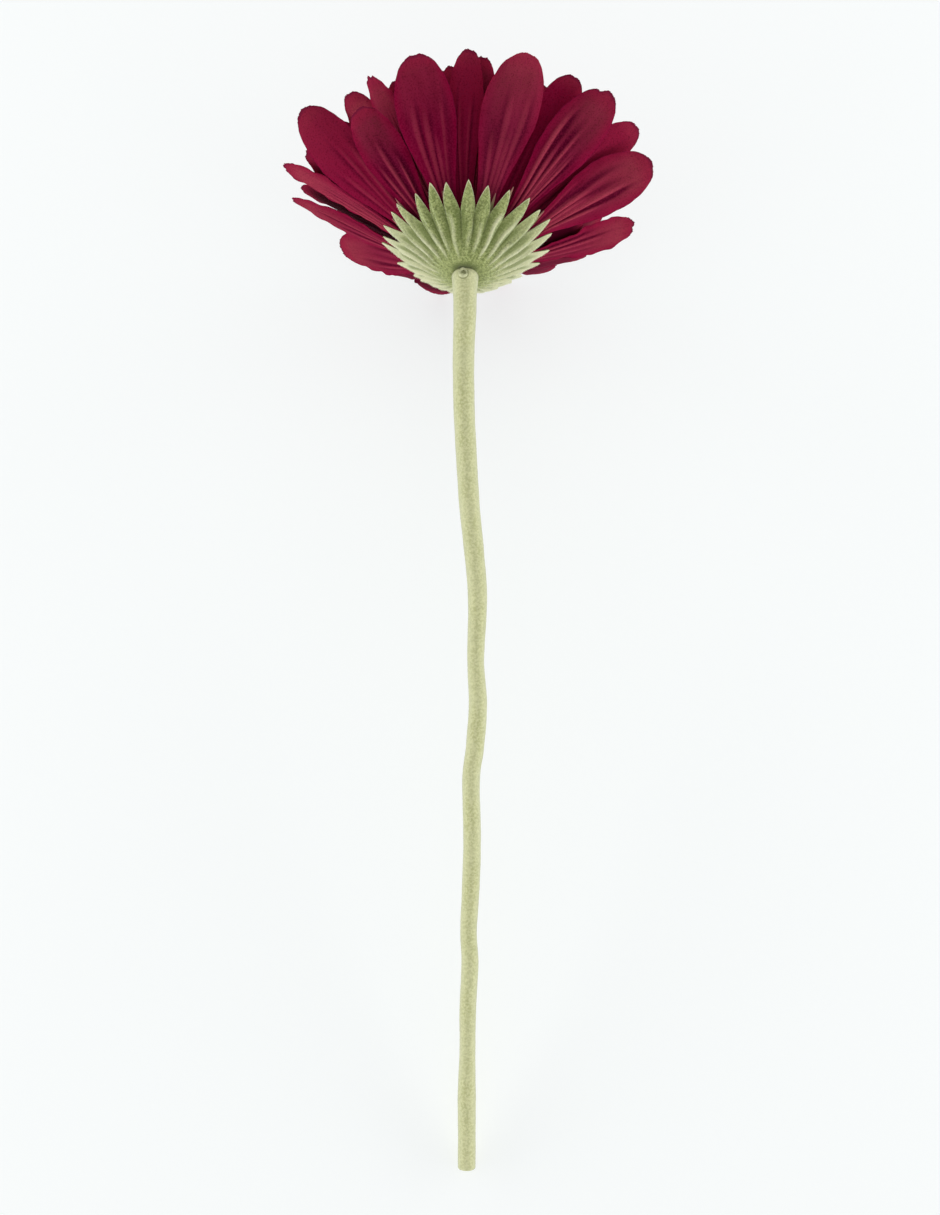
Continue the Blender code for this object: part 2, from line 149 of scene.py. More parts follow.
# Each ray petal: azimuth, length, lift of its chord over the bloom's plane, half width at its
# widest, how far it rolls about its own length, how far it curls between root and tip, and how far
# its middle line bows sideways.
Petal = namedtuple("Petal", "azimuth length lift half_width roll curl bow", defaults=(0.0,))
OUTER_RAYS = [
    Petal(-12, 54.8, 32.5, 8.4, -36, -8, -0.3),
    Petal(-45, 55.4, 33.0, 7.7, -22, -8, 0.3),
    Petal(-73.5, 55.0, 34.2, 8.3, 10, -8, 0.3),
    Petal(-107.3, 53.8, 34.0, 8.0, 14, -8, -0.7),
    Petal(-131.5, 46.0, 31.5, 6.7, 12, -8, -1.2),
    Petal(-153, 56.4, 35.4, 7.6, 28, -6, -1.8),
    Petal(-178.8, 57.0, 34.8, 5.0, -14, -8, -0.1),
    Petal(168, 55.4, 33.6, 4.7, -6, -8, -3.2),
    Petal(142, 49.6, 33.8, 8.0, 20, -8, -0.7),
    Petal(121, 50.5, 35.0, 8.6, 2, -9, -2.0),
    Petal(101, 53.5, 33.0, 8.4, 4, -12),
    Petal(76, 55.0, 38.0, 8.4, -4, -10),
    Petal(57, 46.0, 36.8, 8.2, 5, -8),
    Petal(37, 44.2, 34.4, 8.2, 6, -8, 2.0),
    Petal(17.2, 53.4, 33.2, 5.5, -36, -8, 2.3),
]
MIDDLE_RAYS = [
    Petal(-91, 51.6, 40.0, 4.9, 0, -6, -1.0),
    Petal(-53, 52.0, 40.0, 7.0, -6, -6, 1.2),
    Petal(-19.5, 55.8, 39.0, 7.7, -8, -6),
    Petal(8, 34.5, 38.0, 6.6, -30, -6, 1.9),
    Petal(30, 51.0, 41.0, 7.2, 4, -6),
    Petal(56, 51.0, 41.0, 7.6, -4, -6),
    Petal(82, 50.0, 41.0, 7.6, 3, -6),
    Petal(107, 50.0, 41.0, 7.6, -3, -6),
    Petal(128, 51.0, 41.0, 7.4, 4, -6),
    Petal(148, 52.0, 40.0, 7.0, -4, -6),
    Petal(166.5, 54.6, 37.0, 6.8, -14, -8),
    Petal(-171, 50.3, 36.5, 6.8, 8, -6),
    Petal(-156, 48.0, 41.0, 6.8, -4, -6),
    Petal(-140, 49.9, 41.4, 5.6, 10, -6, -0.6),
    Petal(-128, 50.4, 40.0, 5.2, -24, -6),
]
INNER_RAYS = [
    Petal(-86, 47.5, 46.0, 5.2, 5, -6, -0.8),
    Petal(-99, 44.8, 46.0, 5.6, -5, -6),
    Petal(-124, 44.5, 46.0, 6.2, 6, -6),
    Petal(-150, 44.0, 46.0, 6.4, -4, -6),
    Petal(-175, 45.0, 46.0, 6.4, 4, -6),
    Petal(160, 45.5, 46.0, 6.4, -5, -6),
    Petal(136, 44.0, 46.5, 6.4, 4, -6),
    Petal(112, 44.5, 47.0, 6.4, -4, -6),
    Petal(88, 43.0, 47.5, 6.4, 4, -6),
    Petal(64, 44.0, 47.0, 6.4, -5, -6),
    Petal(40, 45.5, 46.0, 6.4, 4, -6),
    Petal(15, 44.5, 46.0, 6.4, -4, -6),
    Petal(-10, 45.0, 46.0, 6.4, 5, -6),
    Petal(-35, 45.0, 46.0, 6.4, -4, -6),
    Petal(-60, 44.5, 46.0, 6.4, 4, -6),
]
# The short florets are alike but for a spread in length, lift and roll. A fringe stands inside them.
SHORT_FLORETS = 24
SHORT_FLORET = Petal(0, 15.0, 58.0, 1.9, 0, -22)
SHORT_SPREAD = Petal(0, 1.6, 5.0, 0, 8.0, 0)
FRINGE_FLORETS = 30
FRINGE_FLORET = Petal(0, 9.5, 70.0, 1.0, 0, -34)
FRINGE_SPREAD = Petal(0, 1.5, 7.0, 0, 15.0, 0)
FRINGE_PLACES = (0.2, 0.8)

# A ray petal's outline, as shares of its length: its claw ends at CLAW_END, it is widest at
# WIDEST_AT, and it ends in a round of the given power. The last row of the petal's grid is the part
# of that round that is narrower than TIP_SPAN of the widest.
CLAW_END = 0.20
WIDEST_AT = 0.72
TIP_ROUND = 2.0
TIP_SPAN = 0.62
TIP_BEND = 6
EDGE_LIFT = 0.15
SHINGLE = math.radians(10)
ROW_CROWDING = 1.3
# Its thickness at the root and from THIN_FROM of its length on, as shares of the middle one.
PETAL_THICKNESS = 0.32 * MM
ROOT_THICKER = 1.6
TIP_THINNER = 0.7
THIN_FROM = 0.5

# The ridges pressed into a petal's back: how far they stand out, how wide they are as a share of the
# petal's half width, where along it they begin and end, and how far and how often they wander. Faint
# ones run between them, and a valley runs beside each.
RIDGE_HEIGHT = 0.42 * MM
RIDGE_LEAST = 0.35
RIDGE_HEIGHTS = (0.6, 1.0)
RIDGE_WIDTH = 0.075
RIDGE_WIDTHS = (0.7, 1.5)
RIDGE_BEGINS = (-0.05, 0.15)
RIDGE_ENDS = (0.72, 0.95)
RIDGE_RISE = 0.2
RIDGE_FALL = 0.3
RIDGE_WANDER = 0.04
RIDGE_BENDS = (0.5, 1.1)
FAINT_RIDGES = 4
FAINT_HEIGHT = 0.4
FAINT_PLACES = (-0.8, 0.8)
VALLEY_WIDTH = 0.13
VALLEY_SHIFT = 0.15
VALLEY_DEPTH = 0.5

# A petal flows from side to side, its edges wave and are ragged from a share of its length on, and
# its tip is ragged and notched: how much, how often, and how closely that keeps to the edge or tip.
FLOW = 0.35 * MM
FLOW_RATES = (0.8, 1.7)
EDGE_WAVE = 0.32 * MM
WAVE_RATES = (3.1, 5.3, 8.9)
WAVE_FALL = 5
WAVES_FROM = (0.25, 0.6)
EDGE_RAG = 0.10 * MM
RAG_RATES = (5.0, 9.0, 17.0)
RAG_FALL = 8
RAGS_FROM = (0.2, 0.45)
TIP_RAG = 0.003
TIP_RATES = (1.7, 3.9, 7.1)
NOTCH_WIDTH = 0.2
NOTCH_FALL = 18
# Where the tip's margin, which takes painted light shining through, begins and ends.
TIP_MARGIN = (0.80, 1.0)

# Where each whorl grows: the radius and height of its petals' roots, how wide their claws are as a
# share of their widest, and the rows and columns of their grids.
Whorl = namedtuple("Whorl", "root_radius root_height claw rows columns")
OUTER_WHORL = Whorl(7.0, 4.6, 0.36, 72, 73)
MIDDLE_WHORL = Whorl(7.2, 6.9, 0.52, 60, 57)
INNER_WHORL = Whorl(7.8, 9.4, 0.55, 50, 45)
SHORT_WHORL = Whorl(8.6, 12.3, 0.5, 28, 15)
FRINGE_WHORL = Whorl(7.9, 13.6, 0.5, 22, 9)

# What sets one petal apart: where its ridges run across it and how far they stand out, how ragged
# its edges are, how much they wave, the notches in its tip (place across it and depth in mm), its
# painted light, from -1 for painted shade to 1 for painted light, how far the painted light shining
# through its margins spreads between them (below 0 its margins lose some of it too), and how many
# times as wide as others its ridges are.
Look = namedtuple("Look", "ridges press rag wave notches tone clear spread", defaults=(0.0, 1.0))
OUTER_LOOKS = {
    0: Look([-0.3, -0.03, 0.22, 0.48], 1.5, 0.5, 0.6, [(0.3, 0.4)], 0.42),
    1: Look([-0.62, -0.22, 0.08, 0.42], 1.3, 0.5, 0.6, [(-0.45, 0.9)], 0.15),
    2: Look([-0.5, -0.15, 0.2, 0.5], 0.65, 0.4, 0.6, [(0.2, 0.3)], 0.2, -0.2, 1.7),
    3: Look([-0.45, -0.1, 0.2, 0.5], 0.6, 0.5, 0.5, [(0.0, 0.3)], 0.0, 0.68, 1.7),
    4: Look([-0.5, -0.05, 0.45], 1.0, 0.6, 0.9, [(-0.2, 0.4)], 0.0),
    5: Look([-0.4, 0.1, 0.55], 0.6, 0.7, 0.6, [], 0.28, 0.85, 1.4),
    6: Look([-0.5, -0.1, 0.3], 1.3, 1.3, 1.0, [(-0.2, 0.8)], 0.8),
    7: Look([-0.4, 0.05, 0.4], 0.8, 0.9, 0.7, [(0.1, 0.8)], 0.5),
    8: Look([-0.5, -0.1, 0.35], 0.7, 1.5, 1.2, [(0.1, 0.5)], 0.4),
    9: Look([-0.4, 0.0, 0.45], 0.8, 1.3, 1.1, [(0.1, 0.5)], -0.3),
    10: Look([-0.4, 0.0, 0.45], 0.8, 1.6, 1.4, [(0.05, 0.6), (0.4, 1.0), (0.8, 1.2)], -0.8),
    12: Look([-0.4, 0.0, 0.45], 0.8, 1.3, 1.5, [(0.1, 0.5)], -0.3),
    13: Look([-0.4, 0.0, 0.45], 0.8, 1.3, 1.6, [(0.1, 0.5)], -0.3),
    14: Look([-0.5, -0.1, 0.3], 0.9, 1.2, 1.3, [(0.2, 0.8)], 0.5),
}
MIDDLE_LOOKS = {
    0: Look([-0.3, 0.25], 0.5, 0.8, 0.6, [(0.15, 0.5)], 0.3, 0.92),
    1: Look([-0.4, 0.0, 0.4], 0.5, 0.4, 0.5, [(0.0, 0.3)], -0.05, 0.96),
    2: Look([-0.4, 0.0, 0.4], 0.5, 0.6, 0.6, [(-0.2, 0.5), (0.3, 0.3)], 0.25, 0.9),
    3: Look([-0.4, 0.0, 0.4], 0.5, 0.6, 0.5, [(0.0, 0.3)], -1.0),
    10: Look([-0.4, 0.0, 0.4], 0.5, 0.8, 0.8, [(0.0, 0.5)], -1.0),
    11: Look([-0.4, 0.0, 0.4], 0.5, 0.8, 0.8, [(0.0, 0.5)], -0.7),
    13: Look([-0.3, 0.3], 0.5, 0.8, 0.7, [(0.1, 0.5)], 0.9),
}
# The other petals draw their looks between these; those under NARROW_PETAL wide have fewer ridges.
NARROW_PETAL = 4
COMMON_RIDGES = (-0.55, -0.2, 0.15, 0.5)
NARROW_RIDGES = (-0.35, 0.3)
RIDGE_SPREAD = (-0.08, 0.08)
COMMON_NOTCHES = [((-0.5, -0.1), (0.2, 1.0)), ((0.1, 0.5), (0.0, 0.8))]
COMMON_LEAST = (0.7, 0.6, 0.7, -0.5)
COMMON_MOST = (1.0, 1.1, 1.3, 0.3)

# The green cup: its outer wall's radius and height, from the dimple round the stem to the rim.
# Towards the table its wall is shorter, by the share given, and its teeth are smaller.
CUP_PROFILE = [
    (2.4, 0.95), (4.8, 0.7), (7.2, 1.6), (9.5, 3.1),
    (13.5, 5.9), (17.5, 8.7), (21.0, 11.4), (24.0, 14.1),
]
CUP_STEPS = 200
TABLE_SIDE_SHORTER = 0.34
TABLE_SIDE_TEETH = 0.4
TABLE_SIDE_RISE = 0.9
# Its wall thins towards the rim, and its rows crowd there.
CUP_WALL = 0.7 * MM
RIM_THINS = (0.6, 1.0)
RIM_THINNING = 0.45
CUP_ROWS = 80
CUP_CROWDING = 0.85
# Each bract on the side away from the table: the azimuth of its tip and how far it reaches past
# the others. The rest are spaced evenly.
BRACTS = 28
UPPER_BRACTS = [
    (-177, -1.0), (-166, -0.5), (-155, -0.7), (-142, -0.3), (-129, -0.7),
    (-118, 0.6), (-101.5, -0.2), (-90, 0.3), (-75.5, -0.7), (-63, -0.2),
    (-48.5, 0.5), (-32.5, 0.0), (-20, 0.8), (-7, 0.0),
]
# How deep the notches between bracts are in mm, how round a bract's sides are (1 is straight), and
# how many degrees its tip leans to a side.
NOTCH_DEPTH = (6.8, 9.8)
BRACT_ROUND = 1.25
BRACT_SKEW = 3.2
BRACT_COLUMNS = 16
# Each bract is vaulted, and a ribbed keel stands on it. The rib lies off the middle line, away from
# the top of the cup, and wanders.
BRACT_KEEL = 0.75 * MM
VAULT_FROM = (0.2, 0.6)
VAULT_ROUND = 1.6
KEEL_LINE = 0.55 * MM
KEEL_WIDTH = 0.20
KEEL_ALONG = (0.12, 0.36, 0.70, 0.92)
RIB_OFFSET = 0.22
RIB_SPREAD = 0.2
RIB_WANDER = 0.14
RIB_BENDS = 14.0
# Where the cup's painted light and shade change, as shares of the way from its floor to its rim, or
# across a bract, or by how far it faces up: the painted highlights on the crests of the ribs and along
# the rim, the painted shade in the troughs between the ribs, the painted shadow of the stem and the
# painted light on the low sides.
CREST_BEGINS = (0.13, 0.28)
CREST_ENDS = (0.60, 0.92)
CREST_FADE = (-0.06, 0.14, -0.25)
CREST_WIDTH = 0.19
CREST_HEIGHTS = (0.35, 0.85)
RIM_ALONG = (0.965, 1.0)
GROOVE_SHADE_ACROSS = (0.25, 0.7)
GROOVE_SHADE_ALONG = (0.2, 0.45, 0.7, 0.95)
LEAST_GROOVE_SHADE = 0.3
STEM_SHADE_ALONG = (0.07, 0.16)
STEM_SHADE_FACING = (0.45, 0.98)
LOW_SIDE_FACING = (-0.2, 0.95)
LOW_SIDE_ALONG = (0.1, 0.6)
# The slim tips of a second row that show between the bracts: azimuth and reach past them.
SLIM_TIPS = [(-145.5, 1.3), (-109, -2.5), (-69, -2.4), (-58.5, 0.9), (-27, 1.0), (-160.5, -1.5)]
SLIM_LENGTH = 9.0
SLIM_WIDTH = 0.75
SLIM_TAPER = 0.93
SLIM_ROUND = 1.6
SLIM_THICKNESS = 0.4 * MM
SLIM_BEHIND = 1.1 * MM
# Where the slim tips take their pink, which is painted red light from the petals.
SLIM_PINK_LIGHT = (0.55, 0.95)
SLIM_ROWS = 16
SLIM_COLUMNS = 7

# The eye: a low dome covered with buds, and open florets round its rim. Each kind of floret is a
# turned profile of radius and height, and its kind is the number of its material.
EYE_RADIUS = 8.2 * MM
EYE_FILL = 0.95
EYE_RISE = 3.4 * MM
EYE_ROUND = 0.75
EYE_BASE = 13.5 * MM
EYE_SPLAY = 0.65
DISC_FLORETS = 190
OPEN_FROM = 0.70
BUD_SIZE = 0.72
RIM_SIZE = 1.10
Floret = namedtuple("Floret", "profile sides lobes depth kind")
BUD = Floret([(0.30, -1.4), (0.42, 0.0), (0.50, 0.7), (0.40, 1.15), (0.16, 1.4)], 8, 0, 0.0, 0)
OPENED = Floret([(0.30, -1.2), (0.36, 0.6), (0.50, 1.2), (0.85, 1.55), (0.95, 1.5)], 15, 5, 0.28, 0)
STYLE = Floret([(0.16, 0.5), (0.14, 1.9), (0.22, 2.2), (0.20, 2.6), (0.08, 2.75)], 6, 0, 0.0, 1)
STYLE_HEIGHT = 2.75 * MM

# The heart that the petals grow from: its radius and height, from the cup's floor to the eye.
RECEPTACLE = [
    (3.0, 1.4), (6.4, 2.2), (7.0, 5.6), (7.4, 8.4),
    (8.0, 11.0), (8.5, 13.6), (7.6, 15.0), (4.0, 16.4),
]
RECEPTACLE_SIDES = 32

# Flock: short fibres standing on the stem and the cup.
Flock = namedtuple("Flock", "fibres length width tilt")
STEM_FLOCK = Flock(48000, 0.60 * MM, 0.055 * MM, 0.40)
CUP_FLOCK = Flock(46000, 0.38 * MM, 0.050 * MM, 0.45)
# How the fibres' lengths spread, and how far each is rooted below the surface.
FIBRE_LENGTHS = (0.5, 1.15)
FIBRE_ROOT = 0.04 * MM

# The colours of the petals' backs and faces, and of the flock on the cup and on the stem. Of a
# petal's colours, its valley and rim colours are painted shade, and its glow and its crest, margin and
# tip colours are painted light.
PETAL_BACK = dict(
    valley=(0.064, 0.0001, 0.0115),
    body=(0.118, 0.0006, 0.0195),
    haze=(0.172, 0.0075, 0.035),
    painted_glow=(0.370, 0.034, 0.073),
    crest=(0.40, 0.050, 0.083),
    margin=(0.262, 0.0006, 0.034),
    tip=(0.390, 0.052, 0.074),
    rim=(0.09, 0.006, 0.030),
)
PETAL_FACE = dict(
    valley=(0.22, 0.002, 0.020),
    body=(0.37, 0.006, 0.035),
    haze=(0.41, 0.014, 0.047),
    painted_glow=(0.44, 0.018, 0.052),
    crest=(0.50, 0.024, 0.064),
    margin=(0.39, 0.006, 0.039),
    tip=(0.43, 0.018, 0.053),
    rim=(0.24, 0.016, 0.046),
)
# The cup's flock: its side colour is painted light on the low sides, ribs and rim, and its dark one is also
# the painted shade of the grooves and, darker, the stem's painted shadow.
BRACT_FLOCK = dict(
    dark=(0.18, 0.22, 0.068),
    body=(0.44, 0.49, 0.19),
    pale=(0.56, 0.59, 0.28),
    painted_shading=(0.78, 0.77, 0.53),
    mottle=1700.0,
    sheen=0.8,
)
# The stem's flock: its side colour is painted shade on the stem's sides.
STEM_GREEN = dict(
    dark=(0.53, 0.54, 0.265),
    body=(0.70, 0.70, 0.40),
    pale=(0.74, 0.74, 0.49),
    painted_shading=(0.48, 0.49, 0.34),
    mottle=1500.0,
    sheen=0.12,
)
# The colours of fibres: dark, pale, and on the sides, which is painted light on the cup's low sides
# and painted shade on the stem's. Then those of the small parts.
BRACT_FIBRES = [(0.35, 0.40, 0.16), (0.82, 0.86, 0.51), (0.93, 0.92, 0.72)]
STEM_FIBRES = [(0.41, 0.42, 0.25), (0.54, 0.55, 0.40), (0.40, 0.41, 0.31)]
BRACT_INSIDE = (0.30, 0.36, 0.16)
SLIM_COLOURS = [(0.22, 0.20, 0.09), (0.36, 0.14, 0.13)]
# The slit's dark green is painted shade in the nub's hole, and the collar's colour painted shadow.
SLIT_COLOUR = (0.25, 0.26, 0.13)
SHADOW_RING_COLOUR = (0.34, 0.35, 0.19)
BUD_COLOURS = [(0.030, 0.008, 0.008), (0.13, 0.02, 0.02)]
STYLE_COLOURS = [(0.25, 0.05, 0.02), (0.62, 0.36, 0.08)]
# How dark the painted shade over deep petals is, as a share of their valley colour, how much
# surfaces shine, and the tint of velvet's sheen.
HIDDEN_SHADE = 0.55
GLOSS = 0.04
SHEEN_ROUGHNESS = 0.45
VELVET_GLOSS = 0.01
VELVET_TINT = (1.0, 0.06, 0.20)
# How finely the petals and fibres are marked: changes in a metre across a petal, along it and from
# one petal's painted light to another's, or in all directions.
STREAKS = (1500.0, 90.0, 9.0)
CLOUDS = (260.0, 60.0, 9.0)
PATCHES = (120.0, 70.0, 9.0)
GRAIN = 2400.0
FIBRE_CLUMPS = 1700.0


def smooth_step(low, high, value):
    """0 below low and 1 above high, with a smooth rise between them."""
    step = np.clip((value - low) / (high - low), 0.0, 1.0)
    return step * step * (3 - 2 * step)


def plateau(edges, value):
    """1 between the middle two of four edges, with a smooth rise before them and a fall after."""
    rise, top, end, fall = edges
    return smooth_step(rise, top, value) * (1 - smooth_step(end, fall, value))


def bell(distance, width):
    """1 at no distance, and less the farther away on either side."""
    return np.exp(-((distance / width) ** 2))


def wobble(value, rates, rng):
    """A sum of sine waves of the given rates, each with a phase of its own; it runs about -1 to 1."""
    total = 0.0
    for rate in rates:
        total = total + np.sin(value * rate * 2 * math.pi + rng.uniform(0, 2 * math.pi))
    return total / math.sqrt(len(rates))


def unit(vectors):
    """The vectors at a length of 1."""
    return vectors / np.maximum(np.linalg.norm(vectors, axis=-1, keepdims=True), 1e-12)


def run_along(points):
    """How far along a line each of its points lies."""
    return np.concatenate([[0], np.cumsum(np.linalg.norm(np.diff(points, axis=0), axis=1))])


def around(radius, angle, height):
    """Points round the Z axis."""
    return np.stack(np.broadcast_arrays(radius * np.cos(angle), radius * np.sin(angle), height), axis=-1)


def rings_round(path, side, top, radius, angle):
    """Rings of points round a path; side and top are the directions square to it."""
    turn = angle[None, :, None]
    return path[:, None] + radius[..., None] * (side[:, None] * np.cos(turn) + top[:, None] * np.sin(turn))


def smooth_between(points, share):
    """A point on the smooth curve that passes through all the points."""
    place = share * (len(points) - 1)
    number = min(int(place), len(points) - 2)
    t = place - number
    before = points[max(number - 1, 0)]
    start, end = points[number], points[number + 1]
    after = points[min(number + 2, len(points) - 1)]
    return [
        0.5 * (2 * b + (c - a) * t + (2 * a - 5 * b + 4 * c - d) * t**2 + (3 * b - a - 3 * c + d) * t**3)
        for a, b, c, d in zip(before, start, end, after)
    ]


def in_world(matrix, points):
    """Points of a local frame, in the world."""
    return points @ np.array(matrix.to_3x3()).T + np.array(matrix.translation)


# Meshes

def add_object(name, verts, faces, materials, kinds=None):
    """A mesh object that is shaded smooth; kinds gives each face the number of its material. A corner
    that a face names twice counts once."""
    mesh = bpy.data.meshes.new(name)
    corners = [list(dict.fromkeys(face)) for face in faces.tolist()]
    mesh.from_pydata(verts.tolist(), [], corners)
    for material in materials:
        mesh.materials.append(material)
    if kinds is not None:
        mesh.polygons.foreach_set("material_index", kinds)
    mesh.shade_smooth()
    mesh.update()
    made = bpy.data.objects.new(name, mesh)
    bpy.context.scene.collection.objects.link(made)
    return made


def settle(piece, slot, *nodes):
    """The piece rides on the flower and stands for the nodes. The slot is not used."""
    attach(piece, "root")
    if nodes:
        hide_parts(*nodes)


def set_marks(made, marks, plane=None):
    """Up to four masks and a place in the piece's own plane at each vertex, for its material. The two
    sides of a sheet have the same ones."""
    count = len(made.data.vertices)
    values = np.zeros((count, 4), np.float32)
    values[:, : marks.shape[-1]] = np.resize(marks, (count, marks.shape[-1]))
    layer = made.data.color_attributes.new("marks", "FLOAT_COLOR", "POINT")
    layer.data.foreach_set("color", values.ravel())
    if plane is not None:
        layer = made.data.attributes.new("plane", "FLOAT_VECTOR", "POINT")
        layer.data.foreach_set("vector", np.resize(plane, (count, 3)).astype(np.float32).ravel())


def read_values(rows, name, width, kind=np.float32):
    """A property of every row of a mesh's list, as an array that is width wide."""
    values = np.empty(len(rows) * width, kind)
    rows.foreach_get(name, values)
    return values.reshape(-1, width)


def grid_faces(rows, columns, wrap=False):
    """Quads over a grid of points that are numbered row by row."""
    across = columns if wrap else columns - 1
    row, column = np.meshgrid(np.arange(rows - 1), np.arange(across), indexing="ij")
    beside = (column + 1) % columns
    corners = [row * columns + column, row * columns + beside]
    corners += [(row + 1) * columns + beside, (row + 1) * columns + column]
    return np.stack([c.ravel() for c in corners], axis=1)


def tube_faces(rings, sides):
    """Quads round a tube, and fans to the two points after its rings, which close its ends."""
    number = np.arange(sides)
    beside = (number + 1) % sides
    last = (rings - 1) * sides
    low, high = 0 * number + rings * sides, 0 * number + rings * sides + 1
    starts = np.stack([low, beside, number, number], axis=1)
    ends = np.stack([high, last + number, last + beside, last + beside], axis=1)
    fans = np.stack([starts, ends], axis=1).reshape(-1, 4)
    return np.concatenate([grid_faces(rings, sides, wrap=True), fans])


def turned(profile, sides, lobes=0, depth=0.0):
    """Verts and faces of a closed turned body from (radius, height) points; lobes wave its rim."""
    angle = np.arange(sides) * 2 * math.pi / sides
    wave = 1 + depth * np.cos(lobes * angle)
    rings = [
        around(radius * (wave if number >= len(profile) - 2 else 1.0), angle, height)
        for number, (radius, height) in enumerate(profile)
    ]
    verts = np.concatenate([*rings, [[0, 0, profile[0][1]], [0, 0, profile[-1][1]]]]) * MM
    return verts, tube_faces(len(profile), sides)


def add_sheet(name, points, thickness, materials, marks, plane=None, wrap=False):
    """A closed thin solid on a grid of middle points. The first material is on the side that the
    grid's normals point to, and the second on the other side and the rims."""
    along = np.gradient(points, axis=0)
    if wrap:
        across = np.roll(points, -1, axis=1) - np.roll(points, 1, axis=1)
    else:
        across = np.gradient(points, axis=1)
    shift = unit(np.cross(across, along)) * np.reshape(thickness, (-1, 1, 1)) / 2
    verts = np.concatenate([(points + shift).reshape(-1, 3), (points - shift).reshape(-1, 3)])
    rows, columns = points.shape[:2]
    face = grid_faces(rows, columns, wrap)
    count = rows * columns
    number = np.arange(count).reshape(rows, columns)
    rims = [number[0], number[-1][::-1]]
    if not wrap:
        rims += [number[::-1, 0], number[:, -1]]
    strips = []
    for rim in rims:
        ends = np.append(rim, rim[0]) if wrap else rim
        strips.append(np.stack([ends[1:], ends[:-1], ends[:-1] + count, ends[1:] + count], axis=1))
    faces = np.concatenate([face, face[:, ::-1] + count, *strips])
    made = add_object(name, verts, faces, materials, (np.arange(len(faces)) >= len(face)).astype(int))
    made.data.set_sharp_from_angle(angle=SHARP_ANGLE)
    set_marks(made, marks, plane)
    return made


# Where the flower lies

def stem_route():
    """The centres and radii of the stem's rings before the flower is laid down, along +Y."""
    points = np.array([smooth_between(STEM, ring / STEM_RINGS) for ring in range(STEM_RINGS + 1)]) * MM
    along, side, up, radii = points.T
    turned_by = HEAD_BEND * np.arange(1, NECK_RINGS + 1) / NECK_RINGS
    forward = NECK_LENGTH * np.sin(turned_by) / HEAD_BEND
    down = NECK_LENGTH * (1 - np.cos(turned_by)) / HEAD_BEND
    line = np.stack([side, along, up], axis=1)
    neck = line[-1] + np.stack([0 * forward, forward, -down], axis=1)
    swell = (NECK_RADIUS - radii[-1]) * (np.arange(1, NECK_RINGS + 1) / NECK_RINGS) ** 2
    return np.concatenate([line, neck]), np.concatenate([radii, radii[-1] + swell])


def lay_down(centres, radii):
    """The slope and the place that fit the stem's line into the box of the stem's solid."""
    low, high = (np.array(corner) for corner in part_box("stem"))
    heading = unit(np.gradient(centres, axis=0))

    def box_at(slope):
        turn = np.array(Matrix.Rotation(slope, 3, "X"))
        middle = centres @ turn.T
        reach = radii[:, None] * np.sqrt(np.maximum(1 - (heading @ turn.T) ** 2, 0.0))
        return (middle - reach).min(0), (middle + reach).max(0)

    flat, steep = 0.0, HEAD_BEND
    for _ in range(SLOPE_HALVINGS):
        slope = (flat + steep) / 2
        bottom, top = box_at(slope)
        if top[2] - bottom[2] < high[2] - low[2]:
            flat = slope
        else:
            steep = slope
    place = (low + high) / 2 - (bottom + top) / 2
    return Matrix.Translation(place) @ Matrix.Rotation(slope, 4, "X"), slope


# Petals

def petal_width(share, claw):
    """Half width of a ray petal at a share of its length, as a part of its widest."""
    rise = claw + (1 - claw) * smooth_step(CLAW_END, WIDEST_AT, share)
    past = np.clip((share - WIDEST_AT) / (1 - WIDEST_AT), 0.0, 1.0)
    return rise * np.sqrt(1 - past**TIP_ROUND)


def row_bend(across):
    """How far a row of the petal's grid falls back at a place across it, once it is at the tip."""
    reach = (1 - (TIP_SPAN * np.abs(across)) ** 2) ** (1 / TIP_ROUND)
    return (1 - WIDEST_AT) * (1 - reach)


def petal_points(petal, whorl, share, across, width, out_of_plane, in_plane):
    """Points of a petal's middle surface in the bloom's frame and in the petal's own plane.
    out_of_plane moves a point towards the bloom's face and in_plane moves it sideways, in metres."""
    curl = math.radians(petal.curl)
    root_lift = math.radians(petal.lift) - curl / 2
    chord = root_lift + curl * share / 2
    tangent = root_lift + curl * share
    length = petal.length * MM * share
    half = petal.half_width * MM * width
    flat_side = across * half + petal.bow * MM * 4 * share * (1 - share) + in_plane
    flat_front = EDGE_LIFT * half * across**2 + out_of_plane
    roll = SHINGLE * (1 - share) + math.radians(petal.roll) * share
    side = flat_side * np.cos(roll) - flat_front * np.sin(roll)
    front = flat_side * np.sin(roll) + flat_front * np.cos(roll)
    out = whorl.root_radius * MM + length * np.cos(chord) - front * np.sin(tangent)
    height = whorl.root_height * MM + length * np.sin(chord) + front * np.cos(tangent)
    azimuth = math.radians(petal.azimuth)
    x = out * math.cos(azimuth) - side * math.sin(azimuth)
    y = out * math.sin(azimuth) + side * math.cos(azimuth)
    return np.stack([x, y, height], axis=-1), np.stack([flat_side, length, 0 * length], axis=-1)


def pressed_ridges(look, share, across, rng):
    """The ridges' crests and the valleys beside them, each 0 to 1. No two ridges are alike: they
    differ in width, in height, in where they begin and end, and some faint ones run between."""
    crest, valley = 0 * share, 0 * share
    ridges = [(at, 1.0) for at in look.ridges]
    ridges += [(at, FAINT_HEIGHT) for at in rng.uniform(*FAINT_PLACES, FAINT_RIDGES)]
    for at, height in ridges:
        begin, end = rng.uniform(*RIDGE_BEGINS), rng.uniform(*RIDGE_ENDS)
        middle = at + RIDGE_WANDER * wobble(share, RIDGE_BENDS, rng)
        width = RIDGE_WIDTH * rng.uniform(*RIDGE_WIDTHS) * look.spread
        fade = plateau((begin, begin + RIDGE_RISE, end - RIDGE_FALL, end), share)
        fade = fade * height * rng.uniform(*RIDGE_HEIGHTS)
        crest = np.maximum(crest, fade * bell(across - middle, width))
        beside = middle + VALLEY_SHIFT * rng.choice((-1, 1))
        valley = np.maximum(valley, fade * bell(across - beside, VALLEY_WIDTH))
    return crest, np.clip(valley - crest, 0.0, 1.0)


